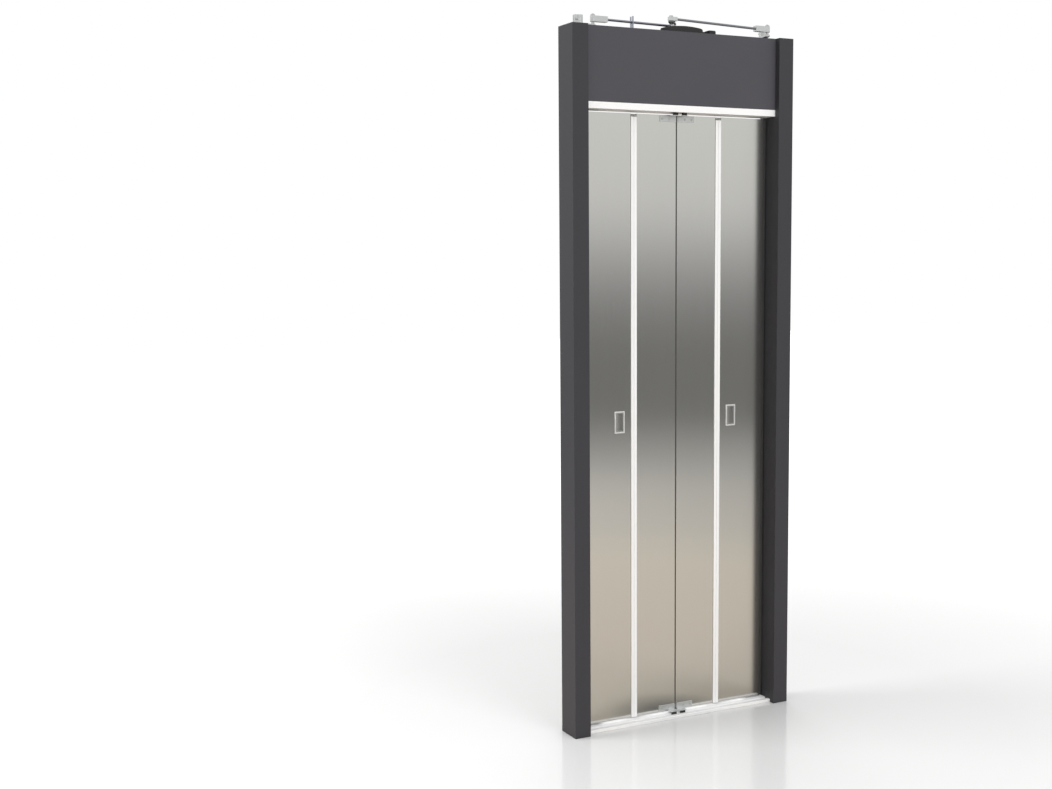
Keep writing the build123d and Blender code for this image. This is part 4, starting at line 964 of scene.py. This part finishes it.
@dataclass
class Drive(Assembly):
    """Levers, rods, crank and covers on top of the header, with their nuts and bolts."""

    finishes: FinishTable = (
        (ROD_STEEL, ("tie_rods",)),
        (SHAFT_STEEL, ("crank_shaft", "drive_pins")),
        (ZINC, ("drive_levers", "outer_rod_ends", "inner_rod_ends", "end_stop")),
        (POST_STEEL, ("rod_post",)),
        (DARK_PAINT, ("crank_bar",)),
        (BLACK_MOULDING, ("shaft_bearings", "drive_cover", "pulley_cover", "drive_pulleys")),
        (BLACK_RUBBER, ("cable_grommets", "drive_belt")),
    )
    pieces: tuple[Piece, ...] = (
        FastenerSet(
            "stud_nuts", Head.HEX, radius=0.0072, height=0.0045, facing=Facing.UP,
            places=((-0.301, 0.0335, 2.304), (0.33555, -0.01407, 2.304)),
        ),
        FastenerSet(
            "crank_nuts", Head.HEX, radius=0.0055, height=0.0028, facing=Facing.UP,
            places=((-0.006, 0.02645, 2.302), (-0.042, -0.01645, 2.3098)),
        ),
        FastenerSet(
            "left_clamp_bolt", Head.HEX, radius=0.0042, height=0.004, facing=Facing.LANDING,
            places=((-0.3645, 0.0285, 2.290),),
        ),
        FastenerSet(
            "right_clamp_bolt", Head.HEX, radius=0.0042, height=0.004, facing=Facing.LEFT,
            places=((0.3505, 0.0478, 2.290),),
        ),
    )


BOARD_FACE = -0.0114
TERMINAL_FOOT = 2.173


def on_board(
    name: str, finish: Finish, low: tuple[float, float], high: tuple[float, float],
    height: float, face: Facing = Facing.CABIN,
) -> Part:
    """A small moulded part that stands on the control board.

    Args:
        name: Its name.
        finish: What it is made of.
        low: The x and z of its lowest corner.
        high: The x and z of its highest corner.
        height: How far it stands out from the board.
        face: The side that is sunk.

    Returns:
        The part, not built yet.
    """
    corners = (low[0], BOARD_FACE, low[1]), (high[0], BOARD_FACE + height, high[1])
    return moulded(name, finish, *corners, slot="board_parts", face=face)


@dataclass
class BoardParts(Assembly):
    """The control board and what stands on it, in place of the board's plain blocks.

    Small chips lie in rows and columns, and their kinds take turns: chip_turns gives the steps of
    the turn from row to row and from column to column, and how many make a round. A gap among
    them is given by its lowest x and z and its highest x and z, from the first chip.
    """

    finishes: FinishTable = ((BOARD_GREEN, ("control_board",)),)
    pieces: tuple[Piece, ...] = (
        TerminalRow("blue_terminals", BLUE_MOULDING, (-0.183, BOARD_FACE, TERMINAL_FOOT), 2),
        TerminalRow("red_terminals", RED_MOULDING, (-0.220, BOARD_FACE, TERMINAL_FOOT), 6),
        TerminalRow("green_terminals", GREEN_MOULDING, (-0.262, BOARD_FACE, TERMINAL_FOOT), 7),
        TerminalRow(
            "orange_terminals", ORANGE_MOULDING, (-0.292, BOARD_FACE, TERMINAL_FOOT), 5,
            covers=("board_blocks",),
        ),
        on_board("board_relay_0", NAVY_MOULDING, (-0.273, 2.119), (-0.2604, 2.153), 0.016),
        on_board("board_relay_1", NAVY_MOULDING, (-0.2596, 2.119), (-0.247, 2.153), 0.016),
        on_board("board_choke", WHITE_MOULDING, (-0.237, 2.121), (-0.223, 2.145), 0.020),
        on_board("board_fuse", WHITE_MOULDING, (-0.236, 2.152), (-0.226, 2.160), 0.012),
        on_board("board_coil", GREY_MOULDING, (-0.207, 2.136), (-0.193, 2.160), 0.012),
        on_board("board_driver", BLACK_MOULDING, (-0.189, 2.120), (-0.173, 2.136), 0.008),
        on_board("board_rail", TIN, (-0.277, 2.1095), (-0.197, 2.1165), 0.010, Facing.UP),
        Part(
            "capacitors", WHITE_MOULDING, "board_parts",
            Bar((-0.287, BOARD_FACE, 2.156), radius=0.0055, length=0.016),
            steps=((0.0008, 0.0), (0.0003, -0.0005), (0.0012, 0.0002)), edge=0.0004,
            shifts=((0, 0, -0.013), (0, 0, -0.026)),
        ),
        FastenerSet(
            "board_screws", Head.PAN, radius=0.0028, height=0.0016,
            places=grid((-0.289, -0.173), BOARD_FACE, (2.114, 2.194)), slot="board_parts",
        ),
    )
    chip_kinds: tuple[tuple[Finish, float], ...] = (
        (WHITE_MOULDING, 0.0030), (TIN, 0.0024), (BLACK_MOULDING, 0.0044),
    )
    chip_low: Point = (-0.2185, BOARD_FACE, 2.112)
    chip_height: float = 0.002
    chip_length: float = 0.0025
    chip_step: tuple[float, float] = (0.0004, 0.0004)
    chip_pitch: tuple[float, float] = (0.0055, 0.0062)
    chip_rows: int = 9
    chip_turns: tuple[int, int, int] = (5, 3, 6)
    chip_gaps: tuple[tuple[float, float, float, float], ...] = (
        (0.009, 0.020, 0.027, 0.050), (0.027, 0.004, math.inf, 0.026),
    )

    def chip_shifts(self, kind: int) -> tuple[Point, ...]:
        """Finds where the chips of one kind lie.

        Args:
            kind: The number of the kind.

        Returns:
            How far each one lies from the first.
        """
        shifts = []
        per_row, per_column, whole = self.chip_turns
        mine = kind * whole // len(self.chip_kinds)
        for row in range(self.chip_rows):
            for column in range(self.chip_rows):
                x, z = column * self.chip_pitch[0], row * self.chip_pitch[1]
                free = not any(a < x < c and b < z < d for a, b, c, d in self.chip_gaps)
                turn = (row * per_row + column * per_column) % whole
                if turn == mine and free and (row, column) != (0, 0):
                    shifts.append((x, 0, z))
        return tuple(shifts)

    def build(self) -> None:
        """Builds the parts on the board and the small chips between them."""
        super().build()
        x, y, z = self.chip_low
        for kind, (finish, width) in enumerate(self.chip_kinds):
            blank = Box(self.chip_low, (x + width, y + self.chip_height, z + self.chip_length))
            Part(
                f"chips_{kind}", finish, "board_parts", blank, (self.chip_step,),
                shifts=self.chip_shifts(kind),
            ).build()


@dataclass
class Wiring(Assembly):
    """The thin wires that rise from the terminals and fan into a bundle beside the board.

    A wire leaves its terminal straight up, leans over at its own height and goes down into the
    bundle. In the fan neighbours lie a little apart, and the pattern starts again after as many
    wires as fan_counts says on X, Y and Z.
    """

    finishes: FinishTable = (
        (BLACK_RUBBER, ("conduit", "motor_lead")),
        (ZINC, ("conduit_clips",)),
    )
    pieces: tuple[Piece, ...] = (
        Wire(
            "wire_bundle", BLACK_RUBBER,
            (
                (-0.1235, -0.0135, 2.213), (-0.1235, -0.0135, 2.196),
                (-0.1245, -0.012, 2.180), (-0.1225, -0.004, 2.166),
            ),
            radius=0.0052,
        ),
    )
    tops: tuple[tuple[float, Finish, float], ...] = (
        (-0.1750, BLUE_WIRE, 2.214), (-0.1815, BLACK_RUBBER, 2.220), (-0.1905, RED_WIRE, 2.218),
        (-0.2015, RED_WIRE, 2.226), (-0.2125, BLACK_RUBBER, 2.231), (-0.2290, GREEN_WIRE, 2.223),
        (-0.2400, BLUE_WIRE, 2.235), (-0.2515, GREEN_WIRE, 2.229), (-0.2680, RED_WIRE, 2.233),
        (-0.2790, BLACK_RUBBER, 2.239), (-0.2855, GREEN_WIRE, 2.226),
    )
    root: tuple[float, float] = (-0.0045, 2.1895)
    straight_end: float = 2.200
    lean: tuple[float, float] = (0.004, -0.001)
    arch: Point = (0.022, -0.009, 0.007)
    gather: tuple[float, float] = (-0.150, 2.236)
    bundle_mouth: Point = (-0.1215, -0.012, 2.222)
    bundle_inside: float = 2.206
    fan: Point = (-0.0012, -0.0011, -0.002)
    fan_counts: tuple[int, int, int] = (4, 3, 5)

    def route(self, number: int, x: float, top: float) -> tuple[Point, ...]:
        """The line of one wire.

        Args:
            number: Its number, which sets its place in the fan.
            x: Where it leaves the terminals.
            top: The height at which it leans over.

        Returns:
            The points that it follows.
        """
        y, foot = self.root
        spread = [step * (number % count) for step, count in zip(self.fan, self.fan_counts)]
        reach, deep = (self.bundle_mouth[axis] + spread[axis] for axis in (0, 1))
        return (
            (x, y, foot),
            (x, y, self.straight_end),
            (x + self.lean[0], y + self.lean[1], top),
            (x + self.arch[0], self.arch[1], top + self.arch[2]),
            (self.gather[0], deep, self.gather[1] + spread[2]),
            (reach, deep, self.bundle_mouth[2]),
            (reach, deep, self.bundle_inside),
        )

    def build(self) -> None:
        """Lays the wires and their bundle."""
        for number, (x, finish, top) in enumerate(self.tops):
            Wire(f"board_wire_{number}", finish, self.route(number, x, top)).build()
        super().build()


@dataclass
class HeaderElectrics(Assembly):
    """Motor, transformer and relays in the open header box."""

    finishes: FinishTable = (
        (MOTOR_METAL, ("motor",)),
        (CASTING, ("gearbox",)),
        (DARK_PAINT, ("motor_bracket",)),
        (CORE_LACQUER, ("transformer_core",)),
        (WINDING_TAPE, ("transformer_winding",)),
    )
    pieces: tuple[Piece, ...] = (
        moulded(
            "relay_base", DARK_MOULDING, (-0.069, -0.023, 2.073), (-0.025, 0.019, 2.128),
            rim=0.003, sunk=0.001, covers=("relay_stack",),
        ),
        moulded(
            "relay_body", NAVY_MOULDING, (-0.066, -0.023, 2.128), (-0.028, 0.015, 2.155),
            rim=0.002, sunk=0.001,
        ),
        TerminalRow(
            "relay_terminals", GREY_MOULDING, (-0.063, -0.023, 2.155), 4,
            pitch=0.008, height=0.017, depth=0.034,
        ),
        moulded(
            "relay_top_strip", WHITE_MOULDING, (-0.063, -0.020, 2.172), (-0.031, 0.006, 2.183)
        ),
        moulded("relay_red_plug", RED_MOULDING, (-0.036, 0.009, 2.155), (-0.031, 0.0145, 2.163)),
        moulded(
            "relay_orange_plug", ORANGE_MOULDING, (-0.044, 0.009, 2.155), (-0.039, 0.0145, 2.160)
        ),
        moulded(
            "transformer_plate", PLATE_WHITE, (-0.1375, 0.0233, 2.0965), (-0.0735, 0.0243, 2.1240),
            slot="core_lacquer", rim=0.002, sunk=0.0002,
        ),
        FastenerSet(
            "transformer_bolts", Head.HEX, radius=0.0034, height=0.003,
            places=grid((-0.1365, -0.0745), 0.0235, (2.091, 2.139)), slot="core_lacquer",
        ),
        Part(
            "transformer_tags", TIN, "core_lacquer",
            Box((-0.127, 0.012, 2.1665), (-0.1245, 0.0128, 2.1735)),
            steps=((0.0002, 0.0012),), face=Facing.UP,
            shifts=tuple((0.0085 * number, 0, 0) for number in range(1, 6)),
        ),
        Part(
            "motor_end_cap", BLACK_MOULDING, "motor_casing",
            Bar((-0.0068, 0.005, 2.227), radius=0.0222, length=0.0106, sides=40),
            steps=((0.003, 0.0), (0.001, -0.0012), (0.009, 0.0), (0.001, 0.0022)),
            face=Facing.LEFT, edge=0.0008,
        ),
        Part(
            "motor_tabs", TIN, "motor_casing",
            Box((-0.0205, 0.013, 2.238), (-0.0170, 0.018, 2.239)),
            steps=((0.0002, 0.0015),), face=Facing.LEFT, shifts=((0, 0.002, -0.022),),
        ),
        FastenerSet(
            "motor_screw", Head.PAN, radius=0.003, height=0.0022,
            places=((0.045, 0.0258, 2.2130),), finish=DARK_SCREW, slot="motor_casing",
        ),
    )


# --- Studio ---


@dataclass(frozen=True)
class Softbox:
    """A square lamp aimed at a point, which neither the camera nor a mirror sees."""

    name: str
    place: Point
    target: Point
    size: float
    power: float

    def hang(self) -> None:
        """Adds the lamp to the scene."""
        data = bpy.data.lights.new(self.name, "AREA")
        data.shape = "RECTANGLE"
        data.size = data.size_y = self.size
        data.energy = self.power
        lamp = bpy.data.objects.new(self.name, data)
        bpy.context.scene.collection.objects.link(lamp)
        lamp.location = self.place
        aim = Vector(self.target) - Vector(self.place)
        lamp.rotation_euler = aim.to_track_quat("-Z", "Y").to_euler()
        lamp.visible_camera = False
        lamp.visible_glossy = False


@dataclass(frozen=True)
class PhotoCamera:
    """The camera that sees the door as the photo does. Its turns are in radians."""

    place: Point = (-2.48156, -3.88109, 1.54105)
    yaw: float = 0.45907
    pitch: float = -0.09693
    roll: float = -0.00813
    lens: float = 47.545
    sensor: float = 36.0
    reach: float = 60.0

    def set_up(self) -> None:
        """Adds the camera and makes it the scene's own."""
        heading = Vector((math.sin(self.yaw), math.cos(self.yaw), 0.0))
        ahead = heading * math.cos(self.pitch) + Vector((0.0, 0.0, math.sin(self.pitch)))
        level = Vector((math.cos(self.yaw), -math.sin(self.yaw), 0.0))
        upright = level.cross(ahead)
        right = math.cos(self.roll) * level + math.sin(self.roll) * upright
        up = -math.sin(self.roll) * level + math.cos(self.roll) * upright
        data = bpy.data.cameras.new("photo_camera")
        data.sensor_fit = "HORIZONTAL"
        data.sensor_width = self.sensor
        data.lens = self.lens
        data.clip_end = self.reach
        camera = bpy.data.objects.new("photo_camera", data)
        bpy.context.scene.collection.objects.link(camera)
        turn = Matrix((right, up, -ahead)).transposed().to_4x4()
        camera.matrix_world = Matrix.Translation(Vector(self.place)) @ turn
        bpy.context.scene.camera = camera


@dataclass
class Studio:
    """Floor, world, lamps and camera.

    The floor's rings are painted light and shade by the distance from the door, as mirrors and soft
    light see them: a painted shadow at the door's foot, then a painted pool of warm light out to
    about 2.4 m that fades into painted shade by 9 m. The horizon's colours go from straight down at
    0 to straight up at 1. To the camera the floor is pale, turns into white haze from haze_start to
    haze_end, and mirrors a little.
    """

    floor_size: float = 40.0
    floor_level: float = -0.0005
    floor_seen: Colour = (0.82, 0.82, 0.82)
    floor_gloss: float = 0.7
    floor_matt: float = 1.0
    floor_polish: float = 0.12
    haze_start: float = 1.1
    haze_end: float = 3.8
    # Painted shadow at the door's foot, a painted pool of warm light to 2.4 m, painted shade by 9
    # m.
    painted_floor_shade: Stops = (
        (0.0, (0.16, 0.16, 0.155)),
        (0.08, (0.20, 0.20, 0.19)),
        (0.22, (0.52, 0.48, 0.42)),
        (1.0, (0.52, 0.47, 0.41)),
        (2.4, (0.51, 0.47, 0.41)),
        (3.5, (0.43, 0.41, 0.38)),
        (5.0, (0.40, 0.39, 0.37)),
        (7.0, (0.34, 0.34, 0.33)),
        (9.0, (0.165, 0.165, 0.156)),
        (19.0, (0.165, 0.165, 0.156)),
    )
    horizon: Stops = (
        (0.0, (0.17, 0.17, 0.165)),
        (0.466, (0.17, 0.17, 0.165)),
        (0.484, (0.25, 0.25, 0.25)),
        (0.500, (0.42, 0.42, 0.42)),
        (0.518, (0.65, 0.65, 0.64)),
        (0.550, (0.69, 0.70, 0.68)),
        (0.80, (0.80, 0.80, 0.80)),
    )
    surround_light: Colour = (0.80, 0.80, 0.80)
    lamps: tuple[Softbox, ...] = (
        Softbox("key_lamp", (-4.6, 1.6, 2.8), (0, 0, 1.2), 2.4, 150),
        Softbox("front_lamp", (0.6, -5.2, 3.2), (0, 0, 1.2), 2.6, 120),
        Softbox("back_lamp", (2.2, 4.2, 3.0), (0, 0, 1.4), 2.6, 55),
    )
    camera: PhotoCamera = PhotoCamera()

    def floor(self) -> None:
        """Lays a pale floor: white to the camera far out, painted light and shade to other rays."""
        Bench.clear()
        bpy.ops.mesh.primitive_plane_add(size=self.floor_size, location=(0, 0, self.floor_level))
        ground = Bench.settle(bpy.context.object, "studio_floor")
        made = bpy.data.materials.new("studio_floor_finish")
        made.use_nodes = True
        net = Network(made.node_tree)
        away = net.add("VectorMath", {0: net.place()}, operation="LENGTH").outputs["Value"]
        radius = self.floor_size / 2
        stops = tuple((at / radius, colour) for at, colour in self.painted_floor_shade)
        # Painted light and shade by distance from the door, which every ray but the camera's sees.
        painted_shade_colour = net.ramp(net.maths("DIVIDE", away, radius), stops)
        camera_ray = net.add("LightPath").outputs["Is Camera Ray"]
        polish = net.add(
            "MapRange",
            {"Value": camera_ray, "To Min": self.floor_matt, "To Max": self.floor_polish},
        )
        far = net.add(
            "MapRange", {"Value": away, "From Min": self.haze_start, "From Max": self.haze_end}
        )
        haze = net.maths("MULTIPLY", far.outputs["Result"], camera_ray)
        seen = net.mix(camera_ray, painted_shade_colour, self.floor_seen)
        surface = {
            "Base Color": net.mix(haze, seen, BLACK),
            "Roughness": polish.outputs["Result"],
            "Specular IOR Level": self.floor_gloss,
            "Emission Color": WHITE,
            "Emission Strength": haze,
        }
        net.feed(made.node_tree.nodes["Principled BSDF"], surface)
        ground.data.materials.append(made)

    def world(self) -> None:
        """Makes a level surround: white to the camera, shaded by height in reflections."""
        surround = bpy.data.worlds.new("studio_surround")
        surround.use_nodes = True
        bpy.context.scene.world = surround
        surround.node_tree.nodes.clear()
        net = Network(surround.node_tree)
        split = net.add("SeparateXYZ", {"Vector": net.add("TexCoord").outputs["Generated"]})
        # The height of a direction runs from -1 to 1, and the ramp's from 0 to 1.
        height = net.maths("MULTIPLY_ADD", split.outputs["Z"], 0.5, 0.5)
        path = net.add("LightPath").outputs
        shade = net.mix(path["Is Glossy Ray"], self.surround_light, net.ramp(height, self.horizon))
        clear = net.maths("MAXIMUM", path["Is Camera Ray"], path["Is Transmission Ray"])
        glow = net.add("Background", {"Color": net.mix(clear, shade, WHITE)})
        net.add("OutputWorld", {"Surface": glow.outputs["Background"]})

    def build(self) -> None:
        """Builds the whole studio."""
        self.floor()
        self.world()
        for lamp in self.lamps:
            lamp.hang()
        self.camera.set_up()
        bpy.context.scene.view_settings.view_transform = "Standard"


def main() -> None:
    """Builds the sub-assemblies in order."""
    logging.basicConfig(level=logging.INFO, format="%(name)s: %(message)s")
    for assembly in (DoorFrame(), Leaves(), Drive(), BoardParts(), HeaderElectrics(), Wiring()):
        assembly.dress()
        assembly.build()
        log.info("finished %s", type(assembly).__name__)
    Studio().build()


if __name__ == "__main__":
    main()
